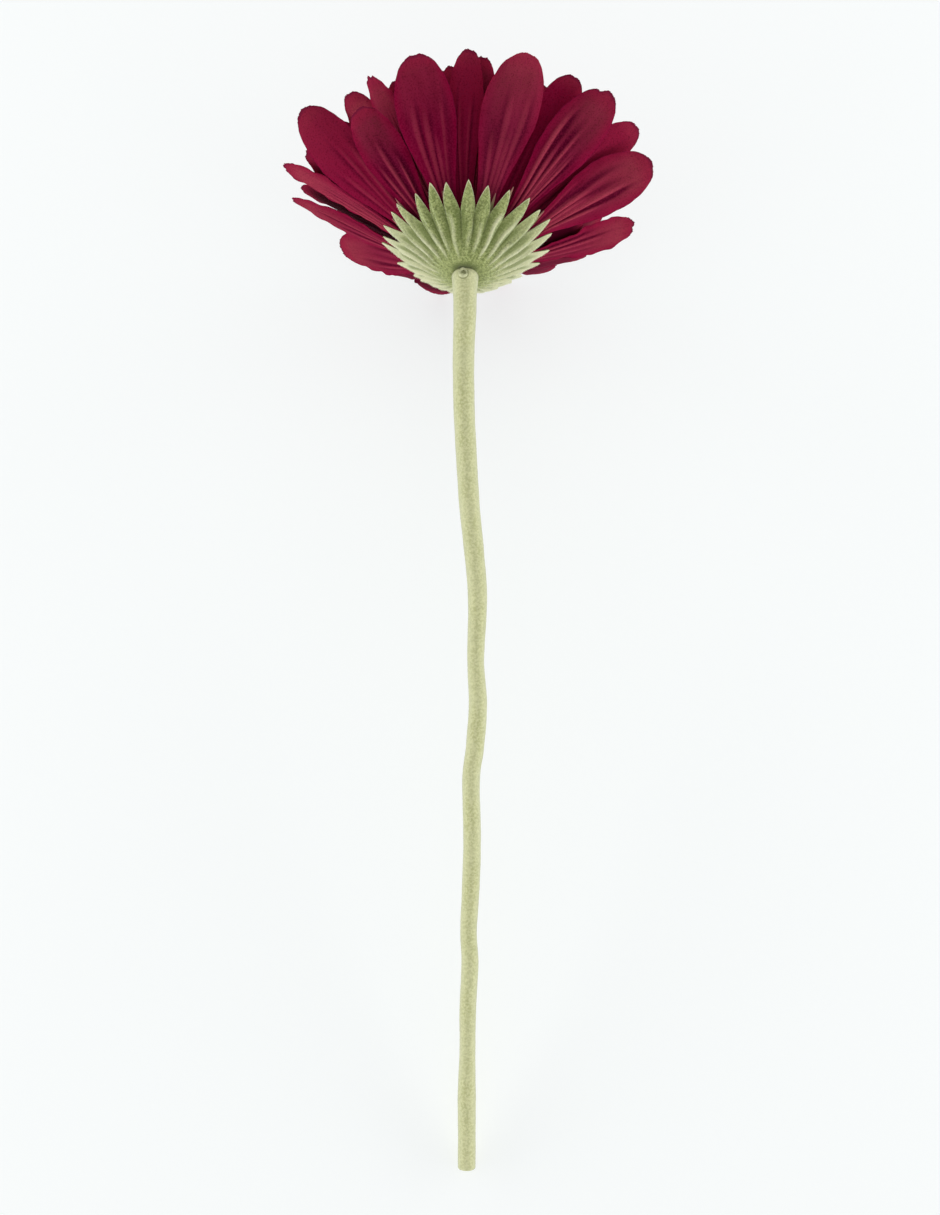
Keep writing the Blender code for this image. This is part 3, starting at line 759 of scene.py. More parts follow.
def add_petal(name, petal, whorl, look, materials, bloom, seed):
    """One petal as a thin closed sheet with pressed ridges, waved and ragged edges and a notched tip."""
    rng = np.random.default_rng(seed)
    step = 1 - (1 - np.linspace(0, 1, whorl.rows)) ** ROW_CROWDING
    step, across = np.meshgrid(step, np.linspace(-1, 1, whorl.columns), indexing="ij")
    edge = np.abs(across)
    notch = sum(depth / petal.length * bell(across - at, NOTCH_WIDTH) for at, depth in look.notches)
    notch = notch + TIP_RAG * look.rag * wobble(across, TIP_RATES, rng) * (1 - edge**4)
    width = petal_width(step * (1 - row_bend(1.0) * step**TIP_BEND), whorl.claw)
    share = step * (1 - row_bend(across) * step**TIP_BEND) - notch * step**NOTCH_FALL
    crest, valley = pressed_ridges(look, share, across, rng)
    ridge = look.press * RIDGE_HEIGHT * (RIDGE_LEAST + (1 - RIDGE_LEAST) * width)
    ridge = ridge * (crest - VALLEY_DEPTH * valley)
    flow = FLOW * look.wave * wobble(share, FLOW_RATES, rng) * across
    waves = np.where(across < 0, *(wobble(share, WAVE_RATES, rng) for _ in range(2)))
    waves = waves * edge**WAVE_FALL * smooth_step(*WAVES_FROM, share)
    out_of_plane = flow - ridge + EDGE_WAVE * look.wave * waves
    rag = np.where(across < 0, *(wobble(share, RAG_RATES, rng) for _ in range(2))) * np.sign(across)
    in_plane = EDGE_RAG * look.rag * rag * edge**RAG_FALL * smooth_step(*RAGS_FROM, share)
    points, plane = petal_points(petal, whorl, share, across, width, out_of_plane, in_plane)
    # The plane's third axis carries the petal's painted light.
    plane[..., 2] = look.tone
    # Where painted light shines through: the margins and the tip, and more of it as the look says.
    margin = np.maximum(edge, smooth_step(*TIP_MARGIN, step))
    margin = np.maximum(margin, look.clear) * (1 + min(look.clear, 0.0))
    # The marks carry the painted highlights of the ridges and the painted shade beside them.
    marks = np.stack([crest * look.press, margin, share, valley * look.press], axis=-1)
    thinning = smooth_step(0.0, THIN_FROM, step[:, 0])
    thickness = PETAL_THICKNESS * (ROOT_THICKER + (TIP_THINNER - ROOT_THICKER) * thinning)
    return add_sheet(name, in_world(bloom, points), thickness, materials, marks, plane)


def common_look(rng, narrow):
    """A petal that nothing sets apart: a few ridges, a gentle wave and a small notch or two."""
    ridges = [at + rng.uniform(*RIDGE_SPREAD) for at in (NARROW_RIDGES if narrow else COMMON_RIDGES)]
    notches = [(rng.uniform(*place), rng.uniform(*depth)) for place, depth in COMMON_NOTCHES]
    press, rag, wave, tone = rng.uniform(COMMON_LEAST, COMMON_MOST)
    return Look(ridges, press, rag, wave, notches, tone)


def add_whorl(name, node, petals, whorl, looks, materials, bloom, slot):
    """All the petals of a whorl, each an object of its own."""
    for number, petal in enumerate(petals):
        seed = 100 * len(name) + number
        narrow = petal.half_width < NARROW_PETAL
        look = looks.get(number) or common_look(np.random.default_rng(seed + SEEDS["looks"]), narrow)
        piece = add_petal(f"{name}_{number:02d}", petal, whorl, look, materials, bloom, seed)
        settle(piece, slot, node)


def short_florets():
    """The ring of short inner florets, each a little unlike its neighbours."""
    made = []
    for number in range(SHORT_FLORETS):
        wave = math.sin(2.4 * number) + 0.5 * math.sin(5.1 * number)
        made.append(
            SHORT_FLORET._replace(
                azimuth=360 * number / SHORT_FLORETS,
                length=SHORT_FLORET.length + SHORT_SPREAD.length * wave,
                lift=SHORT_FLORET.lift + SHORT_SPREAD.lift * (-1) ** number,
                roll=SHORT_SPREAD.roll * wave,
            )
        )
    return made


def fringe_florets():
    """The fringe of narrow florets between the short ones and the eye."""
    rng = np.random.default_rng(SEEDS["fringe"])
    return [
        FRINGE_FLORET._replace(
            azimuth=360 * (number + rng.uniform(*FRINGE_PLACES)) / FRINGE_FLORETS,
            length=FRINGE_FLORET.length + FRINGE_SPREAD.length * rng.uniform(-1, 1),
            lift=FRINGE_FLORET.lift + FRINGE_SPREAD.lift * rng.uniform(-1, 1),
            roll=FRINGE_SPREAD.roll * rng.uniform(-1, 1),
        )
        for number in range(FRINGE_FLORETS)
    ]


# The cup of bracts

def cup_line():
    """The cup's wall as a fine line: distance along it, radius, height, and slope out and up."""
    knots = (np.array(CUP_PROFILE) * MM).tolist()
    line = np.array([smooth_between(knots, share) for share in np.linspace(0, 1, CUP_STEPS)])
    return run_along(line), *line.T, *unit(np.gradient(line, axis=0)).T


def cup_wall(distance):
    """Radius, height, and slope out and up of the cup's smooth wall at a distance along it."""
    along, *values = cup_line()
    radius, height, out, up = (np.interp(distance, along, value) for value in values)
    over = np.maximum(distance - along[-1], 0.0)
    return radius + over * out, height + over * up, out, up


def bract_tips():
    """Every bract's azimuth in degrees, going round once, and its reach past the others in mm."""
    first, last = UPPER_BRACTS[0][0], UPPER_BRACTS[-1][0]
    left = BRACTS - len(UPPER_BRACTS)
    gap = (first + 360 - last) / (left + 1)
    lower = [(last + gap * (number + 1), 0.5 * math.sin(2.1 * number)) for number in range(left)]
    return np.array(UPPER_BRACTS + lower)


def cup_points(share, place, rng):
    """Points of the cup's outer wall, and how far each is from its bract's rib, its azimuth and its
    bract's number. share runs 0 to 1 from floor to rim and place counts bracts: a whole number is
    the groove between two bracts, and a half is a bract's middle line."""
    notches = rng.uniform(*NOTCH_DEPTH, BRACTS) * MM
    skews = rng.uniform(-BRACT_SKEW, BRACT_SKEW, BRACTS)
    azimuths, reaches = bract_tips().T
    ribs = np.where(np.cos(np.radians(azimuths)) > 0, RIB_OFFSET, -RIB_OFFSET)
    ribs = ribs + rng.uniform(-RIB_SPREAD, RIB_SPREAD, BRACTS)
    number = np.floor(place).astype(int)
    edge = (place - number) * 2 - 1
    gaps = (np.roll(azimuths, -1) - azimuths) % 360 / 2
    leaning = edge * np.where(edge < 0, np.roll(gaps, 1)[number], gaps[number])
    free = share**3
    azimuth = np.radians(azimuths[number] + leaning + skews[number] * free * (1 - edge**2))
    notch = np.where(edge < 0, notches[number], np.roll(notches, -1)[number])
    down = smooth_step(0.0, TABLE_SIDE_RISE, np.sin(azimuth))
    reach = reaches[number] * MM
    drop = (notch + reach) * np.abs(edge) ** BRACT_ROUND * (1 - (1 - TABLE_SIDE_TEETH) * down)
    full = cup_line()[0][-1]
    distance = full * share * (1 - TABLE_SIDE_SHORTER * down) + (reach - drop) * free
    radius, height, out, up = cup_wall(distance)
    vault = smooth_step(*VAULT_FROM, share) * (0.5 - np.abs(edge) ** VAULT_ROUND)
    off_rib = edge - (ribs[number] + RIB_WANDER * np.sin(share * RIB_BENDS + number))
    keel = BRACT_KEEL * vault + KEEL_LINE * plateau(KEEL_ALONG, share) * bell(off_rib, KEEL_WIDTH)
    return around(radius + up * keel, azimuth, height - out * keel), off_rib, azimuth, number


def add_cup(materials, bloom):
    """The cup: keeled bracts that part into pointed teeth along its rim."""
    rng = np.random.default_rng(SEEDS["cup"])
    rows = np.linspace(0, 1, CUP_ROWS) ** CUP_CROWDING
    columns = np.arange(BRACTS * BRACT_COLUMNS) / BRACT_COLUMNS
    share, place = np.meshgrid(rows, columns, indexing="ij")
    points, off_rib, azimuth, number = cup_points(share, place, rng)
    # Painted highlights on the crests of the ribs.
    begin, end = rng.uniform(*CREST_BEGINS, BRACTS)[number], rng.uniform(*CREST_ENDS, BRACTS)[number]
    before, after, fading = CREST_FADE
    shown = plateau((begin + before, begin + after, end + fading, end), share)
    crest = bell(off_rib, CREST_WIDTH) * shown * rng.uniform(*CREST_HEIGHTS, BRACTS)[number]
    # Painted shade in the troughs between the ribs.
    painted_shade_mask = smooth_step(*GROOVE_SHADE_ACROSS, np.abs(off_rib)) * plateau(GROOVE_SHADE_ALONG, share)
    facing = -np.sin(azimuth)
    # The stem's painted shadow on the cup's floor, on the side away from the table.
    shade = (1 - smooth_step(*STEM_SHADE_ALONG, share)) * smooth_step(*STEM_SHADE_FACING, facing)
    # Painted light on the low sides.
    side = (1 - smooth_step(*LOW_SIDE_FACING, facing)) * smooth_step(*LOW_SIDE_ALONG, share)
    # The painted highlights of the crests and of the rim together.
    line = np.maximum(crest, smooth_step(*RIM_ALONG, share))
    marks = np.stack([line, side, np.maximum(painted_shade_mask, LEAST_GROOVE_SHADE) + 2 * shade], axis=-1)
    thickness = CUP_WALL * (1 - RIM_THINNING * smooth_step(*RIM_THINS, rows))
    made = add_sheet("bract_cup_flocked", in_world(bloom, points), thickness, materials, marks, wrap=True)
    settle(made, "bracts", "bract_cup")
    return made


def add_slim_tips(materials, bloom):
    """The slim blades of a second row of bracts, which stand behind the first."""
    step = np.linspace(0, 1, SLIM_ROWS)
    share, across = np.meshgrid(step, np.linspace(-1, 1, SLIM_COLUMNS), indexing="ij")
    marks = smooth_step(*SLIM_PINK_LIGHT, share)[..., None]
    for number, (azimuth, reach) in enumerate(SLIM_TIPS):
        distance = cup_line()[0][-1] + (reach - SLIM_LENGTH * (1 - share)) * MM
        radius, height, out, up = cup_wall(distance)
        radius = radius - up * SLIM_BEHIND
        half = SLIM_WIDTH * MM * (1 - SLIM_TAPER * share**SLIM_ROUND)
        points = around(radius, np.radians(azimuth) + across * half / radius, height + out * SLIM_BEHIND)
        thickness = np.full(SLIM_ROWS, SLIM_THICKNESS)
        made = add_sheet(f"bract_slim_{number}", in_world(bloom, points), thickness, materials, marks)
        settle(made, "bracts")


# Flock

def add_flock(name, base, flock, material, slot):
    """Short fibres scattered over a piece's first material, each a slim closed spike."""
    rng = np.random.default_rng(SEEDS[name])
    mesh = base.data
    mesh.calc_loop_triangles()
    places = read_values(mesh.vertices, "co", 3).astype(float)
    marks = read_values(mesh.color_attributes["marks"].data, "color", 4)
    corners = read_values(mesh.loop_triangles, "vertices", 3, np.int32)
    outside = read_values(mesh.loop_triangles, "material_index", 1, np.int32)[:, 0]
    corners = corners[outside == 0]
    a, b, c = (places[corners[:, k]] for k in range(3))
    normals = np.cross(b - a, c - a)
    area = np.linalg.norm(normals, axis=1)
    pick = rng.choice(len(area), flock.fibres, p=area / area.sum())
    u, v = rng.random((2, flock.fibres, 1))
    over = u + v > 1
    u, v = np.where(over, 1 - u, u), np.where(over, 1 - v, v)
    root = a[pick] * (1 - u - v) + b[pick] * u + c[pick] * v
    up = unit(normals)[pick]
    lean = rng.normal(0, flock.tilt, (flock.fibres, 3))
    heading = unit(up + lean - up * (lean * up).sum(1, keepdims=True))
    first = unit(np.cross(heading, rng.normal(size=(flock.fibres, 3))))
    second = np.cross(heading, first)
    length = flock.length * rng.uniform(*FIBRE_LENGTHS, (flock.fibres, 1))
    foot = root - up * FIBRE_ROOT
    ring = [
        foot + (first * math.cos(turn) + second * math.sin(turn)) * flock.width / 2
        for turn in (0, 2 * math.pi / 3, 4 * math.pi / 3)
    ]
    verts = np.stack([*ring, root + heading * length], axis=1).reshape(-1, 3)
    spike = np.array([(0, 1, 3), (1, 2, 3), (2, 0, 3), (2, 1, 0)])
    faces = (np.arange(flock.fibres)[:, None, None] * 4 + spike).reshape(-1, 3)
    made = add_object(name, verts, faces, [material])
    set_marks(made, np.repeat(marks[corners[pick]].mean(1), 4, axis=0), np.repeat(root, 4, axis=0))
    settle(made, slot)


# The stem

def add_stem(materials, centres, radii, root):
    """The stem: a wavy tube, slightly uneven, with a rounded cut end and a rounded shoulder on top."""
    rng = np.random.default_rng(SEEDS["stem"])
    heading = unit(np.gradient(centres, axis=0))
    side = unit(np.cross(heading, (0.0, 0.0, 1.0)))
    angle = np.arange(STEM_SIDES) * 2 * math.pi / STEM_SIDES
    place = run_along(centres)[:, None] / UNEVEN_LENGTH + angle / UNEVEN_TURN
    reach = radii[:, None] * (1 + STEM_UNEVEN * wobble(place, UNEVEN_RATES, rng))
    rings = rings_round(centres, side, np.cross(side, heading), reach, angle)
    start, end = [], []
    for turn in np.linspace(*END_TURNS, END_RINGS) * math.pi:
        shrink = 1 - END_SHRINK * (1 - math.cos(turn))
        low, high = heading[0] * CUT_BULGE * math.sin(turn), heading[-1] * TOP_BULGE * math.sin(turn)
        start.append(centres[0] + (rings[0] - centres[0]) * shrink - low)
        end.append(centres[-1] + (rings[-1] - centres[-1]) * shrink + high)
    grid = np.concatenate([start[::-1], rings, end])
    verts = np.concatenate([grid.reshape(-1, 3), [centres[0], centres[-1]]])
    made = add_object("stem_flocked", in_world(root, verts), tube_faces(len(grid), STEM_SIDES), materials)
    # Painted shade on the stem's left and right sides.
    marks = np.zeros((len(verts), 2))
    marks[:-2, 1] = np.tile(np.abs(np.cos(angle)) ** SIDE_FALL, len(grid))
    set_marks(made, marks)
    settle(made, "stem", "stem")
    return made


def add_nub(stem_paint, slit_paint, shadow_ring_paint, centres, root):
    """The small curled nub on the stem's upper side, just below the cup, the slit within it, which is
    painted shade, and a dark ring of painted shadow under it.
    """
    tilt = np.array(Matrix.Rotation(-HEAD_BEND, 3, "X"))
    centre = centres[-1] + np.array(NUB_PLACE) * MM
    turn = np.linspace(0, 2 * math.pi, NUB_STEPS, endpoint=False)
    path = np.stack([np.sin(turn), np.cos(turn), np.cos(2 * turn)], axis=1) * NUB_SIZE * MM
    heading = unit(np.roll(path, -1, axis=0) - np.roll(path, 1, axis=0))
    up = np.array([(0.0, 0.0, 1.0)])
    angle = np.linspace(0, 2 * math.pi, NUB_SIDES, endpoint=False)
    thick = (NUB_THICKNESS + NUB_SWELL * np.cos(turn + NUB_SWELL_TURN)) * MM
    ring = rings_round(path, np.cross(heading, up), up, thick[:, None], angle).reshape(-1, 3)
    faces = grid_faces(NUB_STEPS + 1, NUB_SIDES, wrap=True) % len(ring)
    bodies = [("stem_nub", ring, faces, stem_paint)]
    bodies.append(("stem_nub_slit", *turned(SLIT_PROFILE, SLIT_SIDES), slit_paint))
    bodies.append(("stem_nub_collar", *turned(SHADOW_RING_PROFILE, SLIT_SIDES), shadow_ring_paint))
    for (name, verts, faces, paint), size in zip(bodies, (1.0, SLIT_SIZE, SHADOW_RING_SIZE)):
        made = add_object(name, in_world(root, verts * size @ tilt.T + centre), faces, [paint])
        if paint == stem_paint:
            set_marks(made, np.tile(NUB_MARKS, (len(ring), 1)))
        settle(made, "stem")


# The eye

def add_eye(materials, bloom):
    """The eye: closed buds in a spiral, open florets with pale styles round its rim."""
    verts, faces, kinds, rises = [], [], [], []
    count = 0
    for number in range(DISC_FLORETS):
        share = math.sqrt((number + 0.5) / DISC_FLORETS)
        turn = GOLDEN_ANGLE * number
        out = EYE_RADIUS * EYE_FILL * share
        height = EYE_BASE + EYE_RISE * math.sqrt(1 - EYE_ROUND * share**2)
        place = Matrix.Translation((out * math.cos(turn), out * math.sin(turn), height))
        lean = Matrix.Rotation(turn, 4, "Z") @ Matrix.Rotation(EYE_SPLAY * share, 4, "Y")
        size = Matrix.Scale(BUD_SIZE + (RIM_SIZE - BUD_SIZE) * share, 4)
        for floret in (OPENED, STYLE) if share > OPEN_FROM else (BUD,):
            points, quads = turned(floret.profile, floret.sides, floret.lobes, floret.depth)
            verts.append(in_world(bloom @ place @ lean @ size, points))
            faces.append(quads + count)
            kinds += [floret.kind] * len(quads)
            rises.append(points[:, 2:] / STYLE_HEIGHT)
            count += len(points)
    made = add_object("disc_head", np.concatenate(verts), np.concatenate(faces), materials, kinds)
    set_marks(made, np.concatenate(rises))
    settle(made, "eye", "disc_florets")


def add_receptacle(material, bloom):
    """The solid heart that every petal grows from, hidden in the cup."""
    verts, faces = turned(RECEPTACLE, RECEPTACLE_SIDES)
    settle(add_object("receptacle", in_world(bloom, verts), faces, [material]), "bracts")


# Materials

class Paint:
    """A material's nodes, made and joined a step at a time. Its colour is laid on coat by coat."""

    def __init__(self, name, colour, roughness, sheen=0.0, sheen_tint=(1.0, 1.0, 1.0), gloss=GLOSS):
        self.material = bpy.data.materials.new(name)
        self.material.use_nodes = True
        self.tree = self.material.node_tree
        self.shader = self.tree.nodes["Principled BSDF"]
        self.colour = colour
        self.shader.inputs["Roughness"].default_value = roughness
        self.shader.inputs["Specular IOR Level"].default_value = gloss
        self.shader.inputs["Sheen Weight"].default_value = sheen
        self.shader.inputs["Sheen Roughness"].default_value = SHEEN_ROUGHNESS
        self.shader.inputs["Sheen Tint"].default_value = (*sheen_tint, 1.0)

    def node(self, kind, **values):
        """A new node, with its settings and the values of its inputs."""
        made = self.tree.nodes.new(kind)
        for name, value in values.items():
            if hasattr(made, name):
                setattr(made, name, value)
            else:
                made.inputs[name.replace("_", " ")].default_value = value
        return made

    def feed(self, source, target):
        """Joins a socket to the target, or sets the target to a plain colour."""
        if isinstance(source, tuple):
            target.default_value = (*source, 1.0)
        else:
            self.tree.links.new(source, target)

    def masks(self):
        """The piece's four masks."""
        marks = self.node("ShaderNodeAttribute", attribute_name="marks")
        parts = self.node("ShaderNodeSeparateColor")
        self.feed(marks.outputs["Color"], parts.inputs["Color"])
        return *parts.outputs, marks.outputs["Alpha"]

    def tone(self):
        """The piece's painted light, from -1 for painted shade to 1 for painted light, which its plane's
        third axis holds.
        """
        plane = self.node("ShaderNodeAttribute", attribute_name="plane")
        parts = self.node("ShaderNodeSeparateXYZ")
        self.feed(plane.outputs["Vector"], parts.inputs["Vector"])
        return parts.outputs["Z"]

    def noise(self, scale, detail=3.0, roughness=0.55, attribute=None):
        """Noise in the world or in one of the piece's attributes. Its scale may differ by axis."""
        if attribute:
            place = self.node("ShaderNodeAttribute", attribute_name=attribute).outputs["Vector"]
        else:
            place = self.node("ShaderNodeTexCoord").outputs["Object"]
        if isinstance(scale, tuple):
            mapping = self.node("ShaderNodeMapping", Scale=scale)
            self.feed(place, mapping.inputs["Vector"])
            place, scale = mapping.outputs["Vector"], 1.0
        made = self.node("ShaderNodeTexNoise", Scale=scale, Detail=detail, Roughness=roughness)
        self.feed(place, made.inputs["Vector"])
        return made.outputs["Fac"]

    def math(self, operation, first, second):
        """The sum or the product of two values."""
        made = self.node("ShaderNodeMath", operation=operation)
        self.feed(first, made.inputs[0])
        self.feed(second, made.inputs[1])
        return made.outputs["Value"]

    def spread(self, value, low, high, at_high=1.0, at_low=0.0):
        """The value, which runs from low to high, made to run from at_low to at_high."""
        made = self.node("ShaderNodeMapRange", From_Min=low, From_Max=high, To_Min=at_low, To_Max=at_high)
        self.feed(value, made.inputs["Value"])
        return made.outputs["Result"]

    def lay(self, colour, share):
        """Lays a colour over the others, where the share says."""
        made = self.node("ShaderNodeMix", data_type="RGBA")
        for source, name in ((share, "Factor"), (self.colour, "A"), (colour, "B")):
            self.feed(source, made.inputs[name])
        self.colour = made.outputs["Result"]

    def coat(self, colour, mask, low, high, at_high=1.0, at_low=0.0):
        """Lays a colour over the others, from at_low of it where the mask is low to at_high."""
        self.lay(colour, self.spread(mask, low, high, at_high, at_low))

    def bump(self, value, distance, strength):
        made = self.node("ShaderNodeBump", Strength=strength, Distance=distance)
        self.feed(value, made.inputs["Height"])
        self.feed(made.outputs["Normal"], self.shader.inputs["Normal"])

    def finish(self):
        self.feed(self.colour, self.shader.inputs["Base Color"])
        return self.material


def petal_paint(name, valley, body, haze, painted_glow, crest, margin, tip, rim):
    """Velvety crimson in random dark patches, hazy clouds, streaks and grain, with painted shade beside
    the pressed ridges, towards the root, along the rim and over deep petals, painted highlights on the
    ridges, painted light over lit petals and towards the tip, and painted light shining through, deeper
    and clearer, towards its margins."""
    paint = Paint(name, body, 0.75, 0.05, VELVET_TINT, VELVET_GLOSS)
    ridge, edge, along, dark = paint.masks()
    tone = paint.tone()
    streak = paint.noise(STREAKS, attribute="plane")
    cloud = paint.noise(CLOUDS, 2.0, attribute="plane")
    patch = paint.noise(PATCHES, 2.0, attribute="plane")
    grain = paint.noise(GRAIN)
    paint.coat(valley, patch, 0.38, 0.60)
    # Painted shade, darker towards the root.
    paint.coat(valley, along, 0.15, 0.5, 0.0, 0.35)
    paint.coat(haze, cloud, 0.40, 0.66, 0.85)
    # Painted light over the petals that are set lit.
    paint.coat(painted_glow, tone, 0.0, 1.0, 0.8)
    # Painted light towards the tip, more of it on lit petals.
    fading = paint.spread(along, 0.62, 1.0, 0.85)
    paint.lay(tip, paint.math("MULTIPLY", fading, paint.spread(tone, -0.2, 0.6, 1.0, 0.3)))
    # Painted light shining through, towards the margins.
    paint.coat(margin, edge, 0.50, 1.0, 0.8)
    # Painted light at the very tip.
    paint.coat(tip, along, 0.90, 1.0, 0.3)
    paint.coat(haze, streak, 0.45, 0.75, 0.25)
    # Painted shade beside the ridges.
    paint.coat(valley, dark, 0.05, 0.45, 0.9)
    # Painted highlights on the ridges.
    paint.coat(crest, ridge, 0.2, 0.95, 0.9)
    paint.coat(valley, grain, 0.32, 0.52, 0.0, 0.55)
    paint.coat(haze, grain, 0.48, 0.66, 0.7)
    # Painted shade along the rim.
    paint.coat(rim, edge, 0.97, 1.0, 0.6)
    # Painted shade over the petals that are set deep, less of it at the tip.
    hidden = paint.spread(tone, -1.0, 0.0, 0.0, 0.92)
    below_tip = paint.spread(along, 0.84, 0.95, 0.1, 1.0)
    paint.lay(tuple(HIDDEN_SHADE * part for part in valley), paint.math("MULTIPLY", hidden, below_tip))
    paint.bump(paint.math("ADD", streak, grain), 0.10 * MM, 0.5)
    return paint.finish()


def flock_paint(name, dark, body, pale, painted_shading, mottle, sheen):
    """A flocked green: mottled in small clumps, with painted light on its ribs, rims and low sides,
    painted shade in its grooves and a darker painted shadow where the stem shades it. On the stem, the
    colour of its sides is darker: painted shade."""
    paint = Paint(name, dark, 0.9, sheen, (0.97, 1.0, 0.88))
    line, side, painted_shade_mask, _ = paint.masks()
    clumps = paint.noise(mottle, roughness=0.6)
    paint.coat(body, clumps, 0.41, 0.59)
    paint.coat(pale, paint.noise(120.0, 2.0), 0.3, 0.7, 0.3)
    # Painted light on the cup's low sides, painted shade on the stem's sides.
    paint.coat(painted_shading, side, 0.0, 1.0, 0.8)
    # Painted shade in the grooves.
    paint.coat(dark, painted_shade_mask, 0.1, 1.0, 0.75)
    # Painted highlights on the ribs and rim.
    paint.coat(painted_shading, line, 0.15, 0.9, 0.85)
    # The stem's painted shadow on the cup.
    paint.coat(tuple(0.3 * part for part in dark), painted_shade_mask, 1.0, 3.0, 0.9)
    paint.bump(clumps, 0.15 * MM, 0.8)
    return paint.finish()


def fibre_paint(name, dark, pale, painted_shading):
    """Fibres of one kind, which differ from clump to clump and follow the colours they stand on, their
    painted light and shade too.
    """
    paint = Paint(name, dark, 0.85)
    line, side, painted_shade_mask, _ = paint.masks()
    paint.coat(pale, paint.noise(FIBRE_CLUMPS, 2.0, 0.6, "plane"), 0.41, 0.59)
    # Painted light on the cup's low sides, painted shade on the stem's sides.
    paint.coat(painted_shading, side, 0.0, 1.0, 0.85)
    # Painted shade in the grooves.
    paint.coat(dark, painted_shade_mask, 0.2, 1.0, 0.75)
    # Painted highlights on the ribs and rim.
    paint.coat(painted_shading, line, 0.15, 0.9, 0.9)
    # The stem's painted shadow on the cup.
    paint.coat(tuple(0.2 * part for part in dark), painted_shade_mask, 1.0, 3.0, 0.9)
    return paint.finish()


def slim_paint(name, green, pink):
    """The slim bracts: green, with pink tips of painted red light from the petals."""
    paint = Paint(name, green, 0.85, 0.3, (1.0, 0.9, 0.8))
    paint.coat(pink, paint.masks()[0], 0.0, 1.0)
    paint.coat(green, paint.noise(1500.0, 2.0), 0.4, 0.7, 0.3)
    return paint.finish()


def eye_paint(name, dark, tip):
    """Disc florets: dark, and warmer at their tips."""
    paint = Paint(name, dark, 0.6, 0.3, (1.0, 0.8, 0.6))
    speckle = paint.noise(1800.0, 2.0)
    paint.coat(tip, paint.masks()[0], 0.2, 0.55)
    paint.coat(dark, speckle, 0.4, 0.7, 0.3)
    paint.bump(speckle, 0.08 * MM, 0.5)
    return paint.finish()


# Floor, light and camera

def add_floor():
    """The pale floor, a hair below the flower. It glows a little, as the photograph's has no dark edge."""
    paint = Paint("pale_floor", FLOOR_COLOUR, 0.95, gloss=0.0)
    paint.shader.inputs["Emission Color"].default_value = (0.97, 0.99, 1.0, 1.0)
    paint.shader.inputs["Emission Strength"].default_value = FLOOR_GLOW
    corners = np.array([(-1, -1, 0), (1, -1, 0), (1, 1, 0), (-1, 1, 0)]) * FLOOR_REACH
    floor = add_object("floor", corners - (0.0, 0.0, FLOOR_GAP), np.array([(0, 1, 2, 3)]), [paint.finish()])


def add_lights():
    """The sky, which differs with height, and the soft lights."""
    world = bpy.data.worlds.new("studio")
    bpy.context.scene.world = world
    world.use_nodes = True
    tree = world.node_tree
    background = tree.nodes["Background"]
    background.inputs["Color"].default_value = (0.98, 1.0, 0.99, 1.0)
    direction = tree.nodes.new("ShaderNodeSeparateXYZ")
    tree.links.new(tree.nodes.new("ShaderNodeTexCoord").outputs["Generated"], direction.inputs["Vector"])
    fall = tree.nodes.new("ShaderNodeMapRange")
    for name, number in zip(("From Min", "From Max", "To Min", "To Max"), SKY_FALL):
        fall.inputs[name].default_value = number
    tree.links.new(direction.outputs["Z"], fall.inputs["Value"])
    tree.links.new(fall.outputs["Result"], background.inputs["Strength"])
    for light in LIGHTS:
        data = bpy.data.lights.new(light.name, "AREA")
        data.shape = "RECTANGLE"
        data.size, data.size_y = light.size
        data.energy = light.power
        lamp = bpy.data.objects.new(light.name, data)
        lamp.location = light.place
        aim = Vector(LIGHTS_AIM) - Vector(light.place)
        lamp.rotation_euler = aim.to_track_quat("-Z", "Y").to_euler()
        lamp.visible_camera = False
        bpy.context.scene.collection.objects.link(lamp)


def add_camera(stem_top, slope):
    """The camera looks straight down on the stem's slope, as the photograph's does on the flower."""
    ahead = Vector((0.0, math.cos(slope), math.sin(slope)))
    above = Vector((0.0, -math.sin(slope), math.cos(slope)))
    right = Vector((1.0, 0.0, 0.0))
    data = bpy.data.cameras.new("camera")
    data.sensor_fit = "AUTO"
    data.lens = FOCAL_PIXELS / max(PHOTO_WIDTH, PHOTO_HEIGHT) * data.sensor_width
    data.clip_start = 0.01
    camera = bpy.data.objects.new("camera", data)
    place = Matrix((right, ahead, above)).transposed().to_4x4()
    place.translation = stem_top + right * VIEW_RIGHT - ahead * VIEW_BACK + above * CAMERA_HEIGHT
    camera.matrix_world = place
    bpy.context.scene.collection.objects.link(camera)
    bpy.context.scene.camera = camera


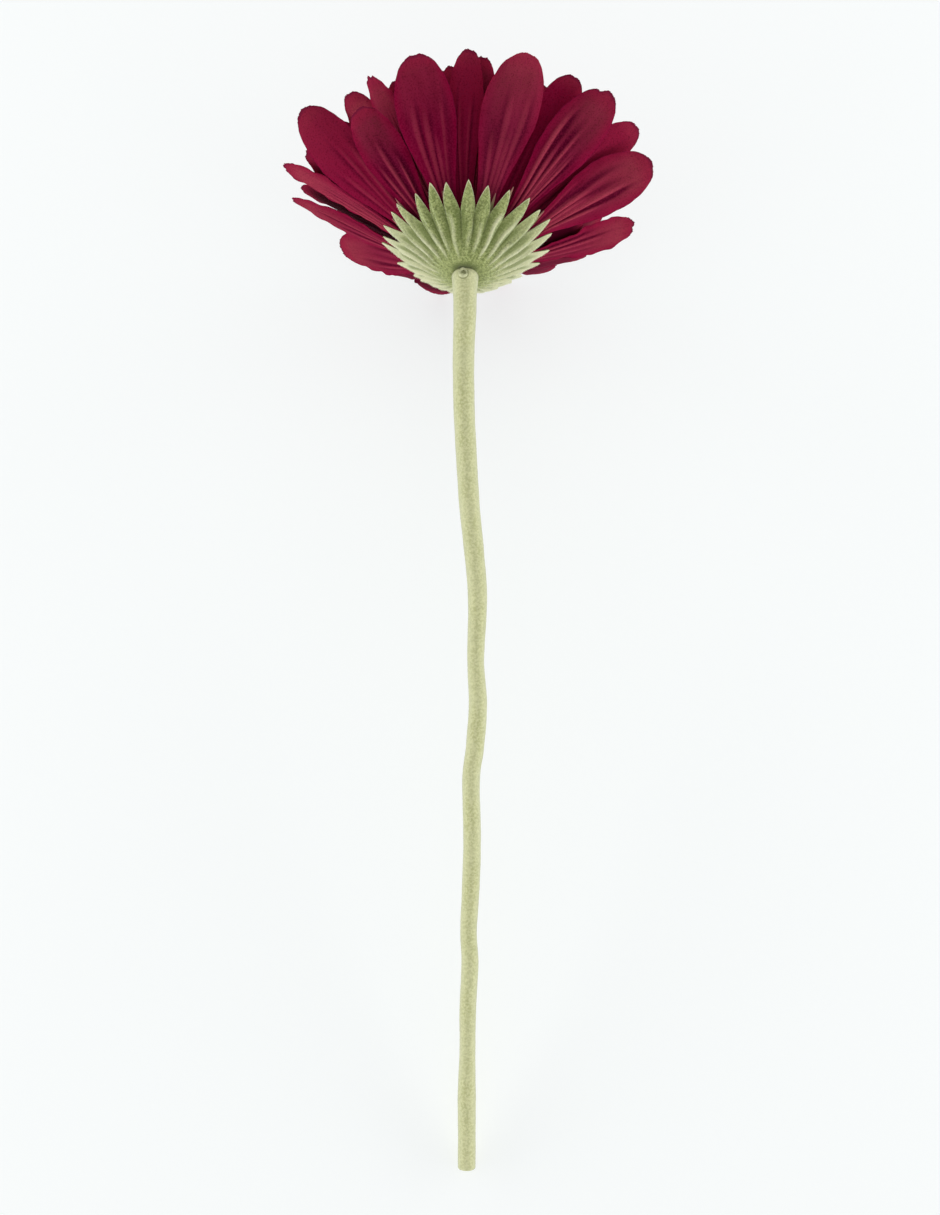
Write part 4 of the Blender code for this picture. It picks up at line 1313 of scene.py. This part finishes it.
def main():
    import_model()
    centres, radii = stem_route()
    root, slope = lay_down(centres, radii)
    turn = Euler((-(math.pi / 2 + HEAD_BEND), 0.0, HEAD_LEAN)).to_matrix().to_4x4()
    bloom = root @ Matrix.Translation(Vector(centres[-1])) @ turn
    add_camera(bloom.translation, slope)

    red = [petal_paint("petal_back", **PETAL_BACK), petal_paint("petal_face", **PETAL_FACE)]
    for name, node, slot, petals, whorl, looks in (
        ("outer_petal", "outer_ray_petals", "petals", OUTER_RAYS, OUTER_WHORL, OUTER_LOOKS),
        ("middle_petal", "middle_ray_petals", "petals", MIDDLE_RAYS, MIDDLE_WHORL, MIDDLE_LOOKS),
        ("inner_petal", "inner_ray_petals", "petals", INNER_RAYS, INNER_WHORL, {}),
        ("short_floret", "short_florets", "inner_florets", short_florets(), SHORT_WHORL, {}),
        ("fringe_floret", "short_florets", "inner_florets", fringe_florets(), FRINGE_WHORL, {}),
    ):
        add_whorl(name, node, petals, whorl, looks, red, bloom, slot)

    inside = Paint("bract_inside", BRACT_INSIDE, 0.85).finish()
    cup = add_cup([flock_paint("bract_flock", **BRACT_FLOCK), inside], bloom)
    add_flock("cup_flock", cup, CUP_FLOCK, fibre_paint("bract_fibre", *BRACT_FIBRES), "bracts")
    slim = slim_paint("bract_slim", *SLIM_COLOURS)
    add_slim_tips([slim, slim], bloom)
    add_receptacle(inside, bloom)

    stem_green = flock_paint("stem_flock", **STEM_GREEN)
    stem = add_stem([stem_green], centres, radii, root)
    add_flock("stem_flock", stem, STEM_FLOCK, fibre_paint("stem_fibre", *STEM_FIBRES), "stem")
    slit_green = Paint("nub_slit", SLIT_COLOUR, 0.9).finish()
    add_nub(stem_green, slit_green, Paint("nub_collar", SHADOW_RING_COLOUR, 0.9).finish(), centres, root)

    add_eye([eye_paint("bud_brown", *BUD_COLOURS), eye_paint("style_ochre", *STYLE_COLOURS)], bloom)

    add_floor()
    add_lights()
    bpy.context.scene.view_settings.view_transform = "Standard"
    bpy.context.view_layer.update()


main()
